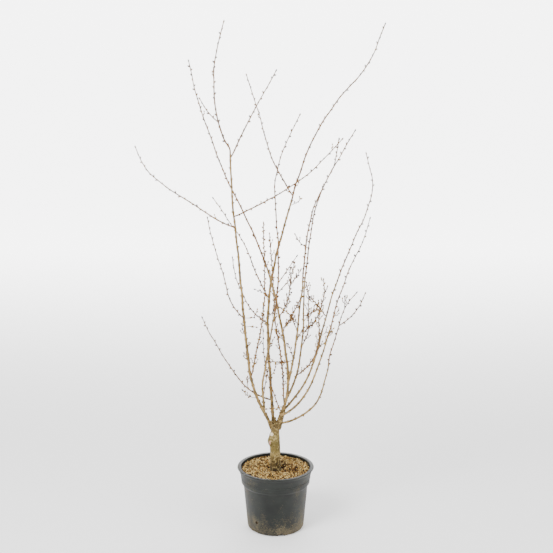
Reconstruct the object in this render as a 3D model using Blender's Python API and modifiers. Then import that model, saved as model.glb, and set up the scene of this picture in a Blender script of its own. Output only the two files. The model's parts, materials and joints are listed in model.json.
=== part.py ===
"""A pot-grown ornamental cherry, bare in winter: several whips on one short grafted trunk.

Metres, +Z up, +Y away from the front. The origin is the middle of the pot's flat underside.
"""

import math
import random
from collections import namedtuple

import bmesh
import bpy
import numpy as np
from mathutils import Matrix, Vector

MM = 0.001
GAP = 0.3 * MM  # between solids that touch in the real plant
WELD = 0.001 * MM
UP = Vector((0, 0, 1))

# Pot
POT_HEIGHT = 0.215
RIM_RADIUS = 0.130
RIM_THICKNESS = 0.007
RIM_EDGE = 0.0025  # its rounded upper edge
RIM_DRAFT = 0.001  # how far its outside draws in downwards
FILLET_WIDTH = 0.003  # under the rim
FILLET_HEIGHT = 0.010
COLLAR_TOP_RADIUS = 0.1205
COLLAR_FOOT_RADIUS = 0.1165
COLLAR_FOOT = 0.160  # height of the step under the collar
STEP_FALL = 0.007  # height over which the wall steps in there
BODY_TOP_RADIUS = 0.1095
BODY_FOOT_RADIUS = 0.0965
FOOT_BEVEL = 0.009
POT_WALL = 0.0025
POT_FLOOR = 0.004
TURN_STEPS = 36  # sides of the pot and of what fills it
NOTCHES = 6
NOTCH_WIDTH = 0.022
NOTCH_HEIGHT = 0.006
NOTCH_BEARING = -78  # degrees, the notch at the front
NOTCH_DEPTH = 0.027
SIDE_HOLES = 3
SIDE_HOLE_RADIUS = 0.005
SIDE_HOLE_HEIGHT = 0.042
SIDE_HOLE_BEARING = -130

# Growing medium
SOIL_RIM = 0.2055  # height of its edge
SOIL_CROWN = 0.2085
SOIL_SEAT = 0.1995  # the hollow that the trunk's foot stands in
SEAT_RADIUS = 0.024
SEAT_SLOPE = 0.012  # width over which the hollow rises
CROWN_RADIUS = 0.055
SHOULDER_RADIUS = 0.095
SOIL_GAP = 1.5 * GAP  # to the pot, on each axis

# Trunk: height, offset to the right and radius of each section
GROUND = SOIL_SEAT + GAP
TRUNK_SIDES = 12
TRUNK_SECTIONS = (
    (GROUND, 0.000, 0.0205),
    (GROUND + 0.012, 0.000, 0.0182),
    (0.245, -0.001, 0.0172),
    (0.280, -0.002, 0.0176),
    (0.302, -0.004, 0.0192),
    (0.322, -0.004, 0.0182),
    (0.336, -0.002, 0.0150),
    (0.350, -0.001, 0.0138),
    (0.366, 0.000, 0.0125),
)
BURL = dict(place=(-0.0115, -0.005, 0.311), size=(0.0145, 0.0150, 0.0210), turn=18)
SHOULDER = dict(place=(-0.0095, -0.006, 0.338), size=(0.0080, 0.0085, 0.0070), turn=-30)
# Pruned stubs beside the fork: foot, tip and radius
STUBS = (
    ((-0.001, -0.002, 0.356), (-0.002, -0.009, 0.392), 0.0042),
    ((0.005, -0.006, 0.354), (0.004, -0.014, 0.377), 0.0046),
)

# Growth
SECTION_STEP = 0.046  # between the sections of a limb, where its buds stand
BESIDE_STEP = 0.012  # the same, where it still runs beside its parent
BESIDE_ROOM = 1.2 * MM
LEAST_STEP = 0.008
COURSE_STEP = 0.004
KINK = 1.2 * MM  # how far a whip turns aside at a section
TURN = math.radians(144)  # from one section to the next, round the whip
TAPER = 1.25
BUD_LENGTH = 9.0 * MM
BUD_RADIUS = 2.2 * MM
BUD_SPREAD = math.radians(45)
BUD_SINK = 1.5 * MM  # of its lower point in the twig
SPUR_RADIUS = 1.1 * MM
SPUR_LENGTHS = (9 * MM, 22 * MM)
SPUR_SPREAD = math.radians(53)
THICK_TWIG = 1.9 * MM  # a whip over this radius has six sides, others four
ROOM_STEP = 3 * MM
CLEAR = 0.8 * MM  # least distance from one twig to another

# One limb. springs: the height at which it leaves its parent, or None where it grows on from the
# parent's tip. tip: across, depth and height of its end. bows: how far it stands to the right of
# the straight line from foot to tip, at even steps. depth_bow: the same, away from the front.
# radii: at foot and tip. parted: height at which the bough ends and its twigs begin.
# is_bough: it is a bough to its end. fused: it belongs to its parent's mass. spurs: share of its
# sections with a short spur.
Limb = namedtuple(
    "Limb", "parent springs tip bows depth_bow radii parted is_bough fused spurs",
    defaults=(None, False, False, 0.12))


def mm(*values):
    return tuple(value * MM for value in values)


LIMBS = {
    "left_leader": Limb(
        None, (-0.009, -0.004, 0.349), (-0.141, -0.100, 1.286), mm(-42, -42, -33, -23, -16), -0.015,
        mm(4.8, 2.6), is_bough=True),
    "centre_leader": Limb(
        None, (-0.007, 0.006, 0.352), (0.351, 0.100, 1.680),
        mm(-47, -93, -127, -141, -141, -139, -125, -83, -19), 0.030, mm(5.0, 1.3), 1.115),
    "right_arm": Limb(
        None, (0.007, 0.000, 0.350), (-0.283, 0.130, 1.563),
        mm(64, 88, 97, 98, 86, 61, 32, 15, 1), -0.070, mm(4.5, 1.2), 0.900),
    "left_inner": Limb(
        "left_leader", 0.406, (0.073, -0.160, 1.409), mm(-19, -15, -11, -5, -10, -22, -40, -52, -35),
        -0.020, mm(3.2, 1.0), 0.770),
    "right_inner": Limb(
        "right_arm", 0.503, (0.243, -0.130, 1.359), mm(-5, -13, -26, -37, -52, -63, -65, -49, -26),
        -0.020, mm(3.3, 1.1), 0.880),
    "right_middle": Limb(
        "right_arm", 0.446, (0.211, 0.160, 1.307), mm(18, 17, 7, -10, -20, -27, -31, -22, 1), 0.010,
        mm(3.3, 1.1), 0.860),
    "right_outer": Limb(
        "right_arm", 0.413, (0.300, 0.120, 1.263), mm(39, 53, 50, 46, 45, 50, 57, 65, 54), 0.060,
        mm(3.5, 1.1), 0.830),
    "right_long": Limb(
        "right_arm", 0.391, (0.295, -0.120, 1.085), mm(34, 43, 40, 32, 23, 11, 6, 3, 8), -0.030,
        mm(3.4, 1.0), 0.720),
    "right_low": Limb(
        "right_arm", 0.365, (0.262, -0.040, 0.828), mm(38, 59, 64, 53, 38, 19, 8, -3, -12), -0.050,
        mm(3.4, 1.0), 0.600),
    "left_top": Limb(
        "left_leader", None, (-0.154, -0.170, 1.684), mm(-31, -39, -29), -0.010, mm(2.3, 1.1)),
    "left_top_side": Limb(
        "left_top", 1.385, (-0.228, -0.165, 1.458), mm(-5), 0, mm(1.5, 0.9), fused=True),
    "left_fork": Limb(
        "left_leader", 1.272, (0.001, -0.030, 1.537), mm(-4, -3), -0.010, mm(2.0, 1.0)),
    "left_across": Limb(
        "left_leader", 1.085, (0.196, -0.260, 1.345), mm(19, 23), -0.020, mm(2.0, 1.0)),
    "left_out": Limb(
        "left_leader", 1.053, (-0.451, 0.030, 1.293), mm(-17, -22, -31, -36, -32), -0.010,
        mm(2.1, 1.0)),
    "left_thin": Limb(
        "left_leader", 0.747, (-0.212, -0.130, 1.088), mm(-20, -14, -10, -8), -0.020, mm(1.7, 0.9)),
    "left_upright": Limb(
        "left_leader", 0.537, (-0.038, -0.100, 1.067), mm(22), -0.030, mm(1.8, 0.9), spurs=0.2),
    "centre_left": Limb(
        "centre_leader", 1.125, (-0.097, 0.220, 1.515), mm(-20, -8), 0.010, mm(2.0, 1.0)),
    "centre_shoot": Limb(
        "centre_leader", 0.782, (-0.209, 0.150, 1.110), mm(3, 16, 9), 0.010, mm(1.9, 0.9)),
    "centre_short": Limb(
        "centre_leader", 0.698, (-0.142, 0.030, 0.930), mm(-26, -28, -21), 0.010, mm(1.7, 0.9)),
    "centre_low": Limb(
        "centre_leader", 0.441, (-0.250, 0.120, 0.703), mm(-37, -45, -41, -31, -19), 0.030,
        mm(2.3, 0.9)),
    "inner_side": Limb(
        "left_inner", 0.876, (0.066, -0.130, 0.967), mm(0), 0, mm(1.3, 0.9), fused=True),
    "inner_low_side": Limb(
        "left_inner", 0.838, (0.048, -0.105, 0.890), mm(0), 0, mm(1.3, 0.9), fused=True),
    "middle_side": Limb(
        "right_middle", 0.949, (0.064, 0.030, 1.009), mm(-7), 0, mm(1.3, 0.9), fused=True),
    "low_side": Limb(
        "right_low", 0.723, (0.285, -0.110, 0.842), mm(13), 0, mm(1.5, 0.9), fused=True),
    "thin_centre": Limb(
        "right_arm", 0.425, (-0.020, 0.055, 1.005), mm(5, -5, -1), 0.004, mm(1.8, 0.9), spurs=0.5),
    "thin_left": Limb("left_leader", 0.420, (-0.027, 0.030, 0.539), mm(-4), 0, mm(1.5, 0.9)),
    "thin_low": Limb("right_arm", 0.398, (-0.042, 0.030, 0.685), mm(-13, -17), 0, mm(1.6, 0.9)),
    "spray_right": Limb(
        "right_middle", 0.530, (0.153, -0.100, 0.885), mm(32, 40, 33, 15, 16), -0.020,
        mm(1.5, 0.9), spurs=0.5),
    "spray_middle": Limb(
        "right_middle", 0.671, (0.160, 0.100, 0.766), mm(13), 0, mm(1.4, 0.9), spurs=0.5),
    "spray_short": Limb("right_middle", 0.727, (0.135, 0.000, 0.763), mm(3), 0, mm(1.3, 0.9)),
    "spray_outer": Limb(
        "right_outer", 0.715, (0.114, 0.020, 0.801), mm(2), 0, mm(1.4, 0.9), spurs=0.4),
    "spray_upright": Limb(
        "right_middle", 0.620, (0.103, 0.060, 0.839), mm(18, 16, 12), 0, mm(1.4, 0.9), spurs=0.5),
    "spray_inner": Limb(
        "right_inner", 0.708, (0.009, -0.085, 0.795), mm(7, 12), 0, mm(1.4, 0.9), spurs=0.4),
    "spray_arm": Limb(
        "right_arm", 0.701, (0.079, -0.090, 0.821), mm(5), 0, mm(1.4, 0.9), spurs=0.3),
    "spray_knot": Limb(
        "right_arm", 0.742, (0.048, -0.065, 0.877), mm(11), 0, mm(1.5, 1.2), spurs=0.6),
    "spray_low": Limb(
        "right_inner", 0.597, (-0.018, -0.060, 0.603), mm(-4), 0, mm(1.3, 0.9), spurs=0.4),
}
# The first stretch of a limb that rises from the trunk is thick, and is part of the trunk's solid:
# its length and the radius of its foot.
COLLARS = {
    "left_leader": (0.034, 0.0085),
    "centre_leader": (0.030, 0.0080),
    "right_arm": (0.086, 0.0112),
}

COLOURS = {
    "pot": ((0.012, 0.013, 0.012), 0.45),
    "soil": ((0.24, 0.13, 0.06), 0.95),
    "trunk": ((0.22, 0.18, 0.10), 0.80),
    "bark": ((0.27, 0.15, 0.08), 0.65),
    "twig": ((0.33, 0.21, 0.13), 0.60),
}


def clear_scene():
    for thing in list(bpy.data.objects):
        bpy.data.objects.remove(thing, do_unlink=True)


def new_collection(name):
    collection = bpy.data.collections.new(name)
    bpy.context.scene.collection.children.link(collection)
    return collection


def new_material(name):
    colour, roughness = COLOURS[name]
    material = bpy.data.materials.new(name)
    material.use_nodes = True
    shader = material.node_tree.nodes["Principled BSDF"]
    shader.inputs["Base Color"].default_value = (*colour, 1)
    shader.inputs["Roughness"].default_value = roughness
    shader.inputs["Metallic"].default_value = 0
    return material


def add_object(name, mesh, collection):
    thing = bpy.data.objects.new(name, mesh)
    collection.objects.link(thing)
    return thing


def evaluated_mesh(thing):
    bpy.context.view_layer.update()
    graph = bpy.context.evaluated_depsgraph_get()
    return bpy.data.meshes.new_from_object(thing.evaluated_get(graph))


def weld(mesh):
    work = bmesh.new()
    work.from_mesh(mesh)
    bmesh.ops.remove_doubles(work, verts=work.verts, dist=WELD)
    work.to_mesh(mesh)
    work.free()


def keep_largest_shell(mesh):
    """Drops a scrap that a join leaves loose, and fills a hollow that it seals."""
    work = bmesh.new()
    work.from_mesh(mesh)
    left = set(work.verts)
    shells = []
    while left:
        shell, ahead = set(), [left.pop()]
        while ahead:
            vertex = ahead.pop()
            shell.add(vertex)
            near = [edge.other_vert(vertex) for edge in vertex.link_edges]
            ahead += [other for other in near if other in left]
            left.difference_update(near)
        shells.append(shell)
    largest = max(shells, key=len)
    loose = [vertex for shell in shells if shell is not largest for vertex in shell]
    bmesh.ops.delete(work, geom=loose, context="VERTS")
    work.to_mesh(mesh)
    work.free()


def join_all(base, pieces):
    """Unites the base with every object of the collection, which is then emptied and removed."""
    if pieces.objects:
        join = base.modifiers.new("Join", "BOOLEAN")
        join.operation = "UNION"
        join.operand_type = "COLLECTION"
        join.collection = pieces
        join.solver = "EXACT"
        joined = evaluated_mesh(base)
        base.modifiers.clear()
        base.data = joined
        keep_largest_shell(joined)
    for piece in list(pieces.objects):
        bpy.data.objects.remove(piece, do_unlink=True)
    bpy.data.collections.remove(pieces)


def tube(name, points, radii, sides, collection):
    """A tapering round limb through the points, with flat ends."""
    curve = bpy.data.curves.new(name, "CURVE")
    curve.dimensions = "3D"
    curve.twist_mode = "MINIMUM"
    curve.bevel_depth = 1
    curve.bevel_resolution = (sides - 4) // 2
    curve.use_fill_caps = True
    spline = curve.splines.new("POLY")
    spline.points.add(len(points) - 1)
    for knot, point, radius in zip(spline.points, points, radii):
        knot.co = (*point, 1)
        knot.radius = radius
    guide = add_object(name + "_course", curve, collection)
    mesh = evaluated_mesh(guide)
    limb = add_object(name, mesh, collection)
    limb.matrix_world = guide.matrix_world
    bpy.data.objects.remove(guide, do_unlink=True)
    weld(mesh)
    return limb


def finish(thing, material):
    thing.data.materials.clear()
    thing.data.materials.append(material)
    thing.data.shade_smooth()
    thing.data.set_sharp_from_angle(angle=math.radians(40))


# How a limb grows


def smooth_at(values, share):
    """The value at this share of the way along values that stand at even steps."""
    last = len(values) - 1
    place = share * last
    k = min(int(place), last - 1)
    u = place - k
    before = values[k - 1] if k else 2 * values[0] - values[1]
    after = values[k + 2] if k + 2 <= last else 2 * values[last] - values[last - 1]
    a, b = values[k], values[k + 1]
    slope_a, slope_b = (b - before) / 2, (after - a) / 2
    rise = b - a
    return a + u * (slope_a + u * (3 * rise - 2 * slope_a - slope_b + u * (slope_a + slope_b - 2 * rise)))


def lengths_along(points):
    steps = np.linalg.norm(np.diff(points, axis=0), axis=1)
    return np.concatenate([[0], np.cumsum(steps)])


def points_at(points, along, wanted):
    return np.stack([np.interp(wanted, along, points[:, axis]) for axis in range(3)], axis=1)


class Course:
    """The middle line of a limb, from its foot on its parent to its tip, with its radii.

    sections are the points where the solid is measured, and points lie on straight lines between
    them, a course step apart."""

    def __init__(self, name, limb, parent):
        self.name, self.limb, self.parent = name, limb, parent
        self.random = random.Random(name)
        self.bearing = self.random.uniform(0, 2 * math.pi)
        if parent is None:
            line = self.bowed_line(np.array(limb.springs))
            root = [line[0]]
        elif limb.springs is None:
            line = self.bowed_line(parent.sections[-1])
            root = self.root_on_end(line)
        else:
            line = self.bowed_line(parent.at_height(limb.springs))
            root = self.root_on_side(line)
        self.root_count = len(root)
        self.sections = self.kinked(root, self.rest)
        self.section_along = lengths_along(self.sections)
        self.length = self.section_along[-1]
        evenly = np.linspace(0, self.length, int(self.length / COURSE_STEP) + 2)
        self.along = np.union1d(evenly, self.section_along)
        self.points = points_at(self.sections, self.section_along, self.along)

    def bowed_line(self, foot):
        """From the foot to the tip, bowed to the side and in depth."""
        run = np.array(self.limb.tip) - foot
        to_right = np.array((run[2], 0, -run[0])) / math.hypot(run[0], run[2])
        away = np.array((0.0, 1.0, 0.0))
        bows = (0, *self.limb.bows, 0)
        count = max(int(np.linalg.norm(run) / COURSE_STEP), 6)
        line = []
        for step in range(count + 1):
            share = step / count
            side = smooth_at(bows, share) * to_right
            deep = 4 * share * (1 - share) * self.limb.depth_bow * away
            line.append(foot + share * run + side + deep)
        line = np.array(line)
        self.rest = self.evenly(line)
        return line

    def evenly(self, line):
        along = lengths_along(line)
        count = max(int(round(along[-1] / SECTION_STEP)), 2)
        return points_at(line, along, np.linspace(0, along[-1], count + 1))[1:]

    def root_on_end(self, line):
        """It keeps the direction of its parent's end at first, so that the two faces are parallel."""
        heading = self.parent.sections[-1] - self.parent.sections[-2]
        heading /= np.linalg.norm(heading)
        return [line[0], line[0] + heading * BESIDE_STEP]

    def root_on_side(self, line):
        """It leaves the parent's side squarely, and is kept clear until it has left by itself."""
        parent, own = self.parent, self.limb.radii[0]
        near = parent.nearest(line)
        tangents = parent.tangents()[near]
        away = line - parent.points[near]
        away -= np.sum(away * tangents, axis=1)[:, None] * tangents
        distance = np.linalg.norm(away, axis=1)
        room = parent.radius_at(parent.along[near]) + own + BESIDE_ROOM
        inside = np.nonzero(distance < room)[0]
        first = min(inside[-1] + 1, len(line) - 2)
        outward = away[first] - np.dot(away[first], tangents[0]) * tangents[0]
        outward /= np.linalg.norm(outward)
        foot = parent.points[near[0]]
        surface = parent.radius_at(parent.along[near[0]])
        square = np.linspace(surface + GAP, room[0], 3)
        root = [foot + outward * reach for reach in square]
        for k in range(first):
            beside = parent.points[near[k]] + outward * room[k]
            if np.dot(beside - root[-1], tangents[0]) > BESIDE_STEP:
                root.append(beside)
        root.append(line[first])
        self.rest = self.evenly(line[first:])
        return root

    def kinked(self, root, rest):
        """The whip turns a little aside at each section."""
        last = len(rest) - 1
        sections = list(root)
        for k, point in enumerate(rest):
            turn = self.bearing + k * TURN
            size = KINK * self.random.uniform(0.5, 1.0) * min(1, k / 2) * (k < last)
            sections.append(point + np.array((math.cos(turn) * size, math.sin(turn) * size, 0)))
        return np.array(sections)

    def radius_at(self, distance):
        foot, tip = self.limb.radii
        share = np.clip(1 - np.asarray(distance) / self.length, 0, 1)
        radius = tip + (foot - tip) * share**TAPER
        if self.name in COLLARS:
            reach, thick = COLLARS[self.name]
            radius = radius + (thick - foot) * np.clip(1 - np.asarray(distance) / reach, 0, 1) ** 0.5
        return radius

    def tangents(self):
        steps = np.gradient(self.points, axis=0)
        return steps / np.linalg.norm(steps, axis=1)[:, None]

    def nearest(self, points):
        gaps = np.linalg.norm(points[:, None] - self.points[None], axis=2)
        return gaps.argmin(axis=1)

    def at_height(self, height):
        return self.points[np.abs(self.points[:, 2] - height).argmin()]

    def cut_near(self, distance):
        """Where to part the limb near this distance: halfway between two sections, where it is straight."""
        after = np.searchsorted(self.section_along, distance)
        return self.section_along[after - 1 : after + 1].mean()

    def cut_at_height(self, height):
        return self.cut_near(self.along[np.abs(self.points[:, 2] - height).argmin()])

    def stretch(self, start, end):
        """The sections from start to end along the limb, with a section at both."""
        first = start if start < 2 * GAP else start + LEAST_STEP
        between = [d for d in self.section_along if first < d < end - LEAST_STEP]
        wanted = np.array([start, *between, end])
        return points_at(self.sections, self.section_along, wanted), self.radius_at(wanted)


def grow_courses():
    courses = {}
    for name, limb in LIMBS.items():
        courses[name] = Course(name, limb, courses.get(limb.parent))
    return courses


class Room:
    """What is already taken by limbs, spurs and buds, so that nothing grows into it."""

    def __init__(self):
        self.points, self.radii, self.owners = np.empty((0, 3)), np.empty(0), np.empty(0, int)
        self.names = []

    def take(self, name, points, radii):
        if name not in self.names:
            self.names.append(name)
        owner = np.full(len(points), self.names.index(name))
        self.points = np.concatenate([self.points, points])
        self.radii = np.concatenate([self.radii, radii])
        self.owners = np.concatenate([self.owners, owner])

    def is_free(self, points, radius, own):
        others = self.owners != self.names.index(own)
        gaps = np.linalg.norm(points[:, None] - self.points[others][None], axis=2)
        return bool((gaps - self.radii[others][None] > radius + CLEAR).all())


def group_of(name):
    """The limb whose mass this one belongs to."""
    return group_of(LIMBS[name].parent) if LIMBS[name].fused else name


def straight_run(start, end, step=2 * MM):
    count = max(int(np.linalg.norm(end - start) / step), 2)
    return start + (end - start) * np.linspace(0, 1, count)[:, None]


def add_bud(name, foot, heading, collection):
    """A pointed winter bud: a spindle whose lower point is sunk in the twig."""
    work = bmesh.new()
    bmesh.ops.create_uvsphere(work, u_segments=3, v_segments=2, radius=1)
    mesh = bpy.data.meshes.new(name)
    work.to_mesh(mesh)
    work.free()
    bud = add_object(name, mesh, collection)
    turn = UP.rotation_difference(Vector(heading)).to_matrix().to_4x4()
    middle = Vector(foot) + Vector(heading) * BUD_LENGTH / 2
    size = Matrix.Diagonal((BUD_RADIUS, BUD_RADIUS, BUD_LENGTH / 2, 1))
    bud.matrix_world = Matrix.Translation(middle) @ turn @ size


def side_of(tangent, bearing):
    """The direction at this bearing round the twig."""
    across = Vector((1, 0, 0)).cross(Vector(tangent))
    if across.length < 0.2:
        across = Vector((0, 1, 0)).cross(Vector(tangent))
    across.normalize()
    other = Vector(tangent).cross(across)
    return np.array(across * math.cos(bearing) + other * math.sin(bearing))


def add_growth(course, start, collection, room):
    """Buds and short spurs at the nodes of one limb, from this distance along it."""
    own = group_of(course.name)
    points, radii = course.stretch(start, course.length)
    tangents = np.gradient(points, axis=0)
    tangents /= np.linalg.norm(tangents, axis=1)[:, None]
    for k in range(max(1, course.root_count - 1), len(points) - 1):
        outward = side_of(tangents[k], course.bearing + k * TURN)
        heading = outward * math.sin(BUD_SPREAD) + tangents[k] * math.cos(BUD_SPREAD)
        foot = points[k]
        if course.random.random() < course.limb.spurs:
            reach = course.random.uniform(*SPUR_LENGTHS)
            heading = outward * math.sin(SPUR_SPREAD) + tangents[k] * math.cos(SPUR_SPREAD)
        else:
            reach = 0
        tip = points[k] + heading * (reach + radii[k])
        beyond = tip + heading * BUD_LENGTH
        taken = straight_run(foot, beyond)
        if not room.is_free(taken, BUD_RADIUS, own):
            continue
        room.take(own, taken, np.full(len(taken), BUD_RADIUS))
        name = f"{course.name}_{k}"
        if reach:
            spur_radii = (SPUR_RADIUS * 1.15, SPUR_RADIUS)
            tube(name + "_spur", [points[k], tip], spur_radii, 4, collection)
        add_bud(name + "_bud", tip - heading * BUD_SINK if reach else foot, heading, collection)
    end = tangents[-1]
    add_bud(course.name + "_end_bud", points[-1] - end * BUD_SINK, end, collection)


def build_mass(course, start, parts, material, courses, room):
    """The twigs of one limb, fused: the whip, its own side twigs, spurs and buds."""
    thick = course.radius_at(start) > THICK_TWIG
    points, radii = course.stretch(start, course.length)
    stem = tube("twigs_" + course.name, points, radii, 6 if thick else 4, parts)
    pieces = new_collection(course.name + "_pieces")
    add_growth(course, start, pieces, room)
    for other in courses.values():
        if other.limb.fused and other.limb.parent == course.name:
            foot = other.parent.at_height(other.limb.springs)
            side = np.concatenate([[foot], other.sections[other.root_count - 1:]])
            tube(other.name, side, other.radius_at(lengths_along(side)), 4, pieces)
            add_growth(other, 0, pieces, room)
    join_all(stem, pieces)
    finish(stem, material)
    return stem


def build_bough(course, start, end, parts, material):
    points, radii = course.stretch(start, end)
    bough = tube("bough_" + course.name, points, radii, 8, parts)
    finish(bough, material)


def build_trunk(courses, parts, material):
    """One tapering stem from its flat cut at the soil to the fork, with the graft's burl."""
    sections = [(across, 0, height) for height, across, _ in TRUNK_SECTIONS]
    trunk = tube("trunk", sections, [radius for _, _, radius in TRUNK_SECTIONS], TRUNK_SIDES, parts)
    pieces = new_collection("trunk_pieces")
    for label, lump in (("burl", BURL), ("shoulder", SHOULDER)):
        work = bmesh.new()
        bmesh.ops.create_uvsphere(work, u_segments=10, v_segments=7, radius=1)
        mesh = bpy.data.meshes.new(label)
        work.to_mesh(mesh)
        work.free()
        body = add_object(label, mesh, pieces)
        turn = Matrix.Rotation(math.radians(lump["turn"]), 4, "Y")
        body.matrix_world = Matrix.Translation(lump["place"]) @ turn @ Matrix.Diagonal((*lump["size"], 1))
    for k, (foot, tip, radius) in enumerate(STUBS):
        tube(f"stub_{k}", [foot, tip], (radius * 1.15, radius), 8, pieces)
    for name, (reach, _) in COLLARS.items():
        points, radii = courses[name].stretch(0, courses[name].cut_near(reach))
        tube(name + "_collar", points, radii, 10, pieces)
    join_all(trunk, pieces)
    finish(trunk, material)


def turned(name, profile, steps, collection):
    """A solid turned round the upright axis from its outline, whose outer side runs downwards."""
    mesh = bpy.data.meshes.new(name)
    mesh.from_pydata([(radius, 0, height) for radius, height in profile], [
        (k, k + 1) for k in range(len(profile) - 1)], [])
    body = add_object(name, mesh, collection)
    screw = body.modifiers.new("Turn", "SCREW")
    screw.steps = steps
    screw.render_steps = steps
    screw.use_merge_vertices = True
    screw.merge_threshold = 1e-5
    screw.use_smooth_shade = True
    return body


def inner_radius(height):
    """Radius of the pot's inside at this height."""
    if height > COLLAR_FOOT:
        share = (height - COLLAR_FOOT) / (POT_HEIGHT - COLLAR_FOOT)
        return COLLAR_FOOT_RADIUS + share * (COLLAR_TOP_RADIUS - COLLAR_FOOT_RADIUS) - POT_WALL
    share = height / COLLAR_FOOT
    return BODY_FOOT_RADIUS + share * (BODY_TOP_RADIUS - BODY_FOOT_RADIUS) - POT_WALL


def inner_outline():
    """The pot's inside, from the middle of its floor to the height of its rim."""
    step_foot = COLLAR_FOOT - STEP_FALL
    step_top = COLLAR_FOOT + 0.001
    return [
        (0, POT_FLOOR),
        (inner_radius(0) - FOOT_BEVEL / 2, POT_FLOOR),
        (inner_radius(FOOT_BEVEL), FOOT_BEVEL + POT_FLOOR),
        (inner_radius(step_foot), step_foot),
        (inner_radius(step_top), step_top),
        (inner_radius(POT_HEIGHT), POT_HEIGHT),
    ]


def build_pot(parts, cutters, material):
    under_rim = POT_HEIGHT - RIM_THICKNESS
    outer = [
        (RIM_RADIUS - RIM_EDGE, POT_HEIGHT),
        (RIM_RADIUS, POT_HEIGHT - RIM_EDGE),
        (RIM_RADIUS - RIM_DRAFT, under_rim),
        (COLLAR_TOP_RADIUS + FILLET_WIDTH, under_rim - 0.4 * FILLET_HEIGHT),
        (COLLAR_TOP_RADIUS, under_rim - FILLET_HEIGHT),
        (COLLAR_FOOT_RADIUS, COLLAR_FOOT),
        (BODY_TOP_RADIUS, COLLAR_FOOT - STEP_FALL),
        (BODY_FOOT_RADIUS, FOOT_BEVEL),
    ]
    corner = []
    for angle in (30, 60, 90):
        swing = math.radians(angle)
        corner.append((
            BODY_FOOT_RADIUS - FOOT_BEVEL * (1 - math.cos(swing)),
            FOOT_BEVEL * (1 - math.sin(swing))))
    pot = turned("pot", inner_outline() + outer + corner + [(0, 0)], TURN_STEPS, parts)
    for k in range(NOTCHES):
        bearing = math.radians(NOTCH_BEARING + k * 360 / NOTCHES)
        bpy.ops.mesh.primitive_cube_add(size=1, rotation=(0, 0, bearing))
        notch = bpy.context.object
        notch.name = f"drain_notch_{k}"
        notch.scale = (NOTCH_DEPTH, NOTCH_WIDTH, 2 * NOTCH_HEIGHT)
        reach = BODY_FOOT_RADIUS + 0.2 * FOOT_BEVEL
        notch.location = (reach * math.cos(bearing), reach * math.sin(bearing), 0)
        cut(pot, notch, cutters)
    for k in range(SIDE_HOLES):
        bearing = math.radians(SIDE_HOLE_BEARING + k * 360 / SIDE_HOLES)
        reach = inner_radius(SIDE_HOLE_HEIGHT)
        bpy.ops.mesh.primitive_cylinder_add(
            vertices=10, radius=SIDE_HOLE_RADIUS, depth=8 * POT_WALL,
            location=(reach * math.cos(bearing), reach * math.sin(bearing), SIDE_HOLE_HEIGHT),
            rotation=(0, math.pi / 2, bearing))
        hole = bpy.context.object
        hole.name = f"side_hole_{k}"
        cut(pot, hole, cutters)
    pot.data.materials.append(material)
    return pot


def cut(body, cutter, cutters):
    for holder in list(cutter.users_collection):
        holder.objects.unlink(cutter)
    cutters.objects.link(cutter)
    cutter.hide_render = True
    cutter.display_type = "WIRE"
    difference = body.modifiers.new(cutter.name, "BOOLEAN")
    difference.operation = "DIFFERENCE"
    difference.object = cutter
    difference.solver = "EXACT"


def build_soil(parts, material):
    """The bark mix that fills the pot, a little hollow round the trunk."""
    floor_and_wall = [(radius - SOIL_GAP, height + SOIL_GAP) for radius, height in inner_outline()[1:-1]]
    profile = [
        (0, SOIL_SEAT),
        (SEAT_RADIUS, SOIL_SEAT),
        (SEAT_RADIUS + SEAT_SLOPE, SOIL_CROWN - 2 * MM),
        (CROWN_RADIUS, SOIL_CROWN),
        (SHOULDER_RADIUS, SOIL_RIM + MM),
        (inner_radius(SOIL_RIM) - SOIL_GAP, SOIL_RIM),
        *reversed(floor_and_wall),
        (0, POT_FLOOR + SOIL_GAP),
    ]
    soil = turned("soil", profile, TURN_STEPS, parts)
    soil.data.materials.append(material)


def main():
    clear_scene()
    parts = new_collection("potted_cherry")
    cutters = new_collection("cutters")
    materials = {name: new_material(name) for name in COLOURS}
    build_pot(parts, cutters, materials["pot"])
    build_soil(parts, materials["soil"])
    courses = grow_courses()
    room = Room()
    for name, course in courses.items():
        wanted = np.arange(0, course.length, ROOM_STEP)
        points = points_at(course.points, course.along, wanted)
        room.take(group_of(name), points, course.radius_at(wanted))
    build_trunk(courses, parts, materials["trunk"])
    for name, course in courses.items():
        if course.limb.fused:
            continue
        start = course.cut_near(COLLARS[name][0]) + GAP if name in COLLARS else 0
        if course.limb.springs is None:
            start = GAP  # it grows on from its parent's end
        if course.limb.parted:
            parted = course.cut_at_height(course.limb.parted)
            build_bough(course, start, parted, parts, materials["bark"])
            start = parted + GAP
        elif course.limb.is_bough:
            build_bough(course, start, course.length, parts, materials["bark"])
            continue
        build_mass(course, start, parts, materials["twig"], courses, room)


main()
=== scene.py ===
"""Looks of the potted cherry: bark, whips, winter buds, the black nursery pot and its bark mix.

Metres, +Z up, +Y away from the front, as in the part's own source. The limbs follow the same
table and the same rule of growth as the solids, and are carried on to finer twigs and buds.
"""

import json
import math
import random
from collections import namedtuple
from functools import partial

import bpy
import numpy as np
from mathutils import Matrix, Vector

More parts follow.
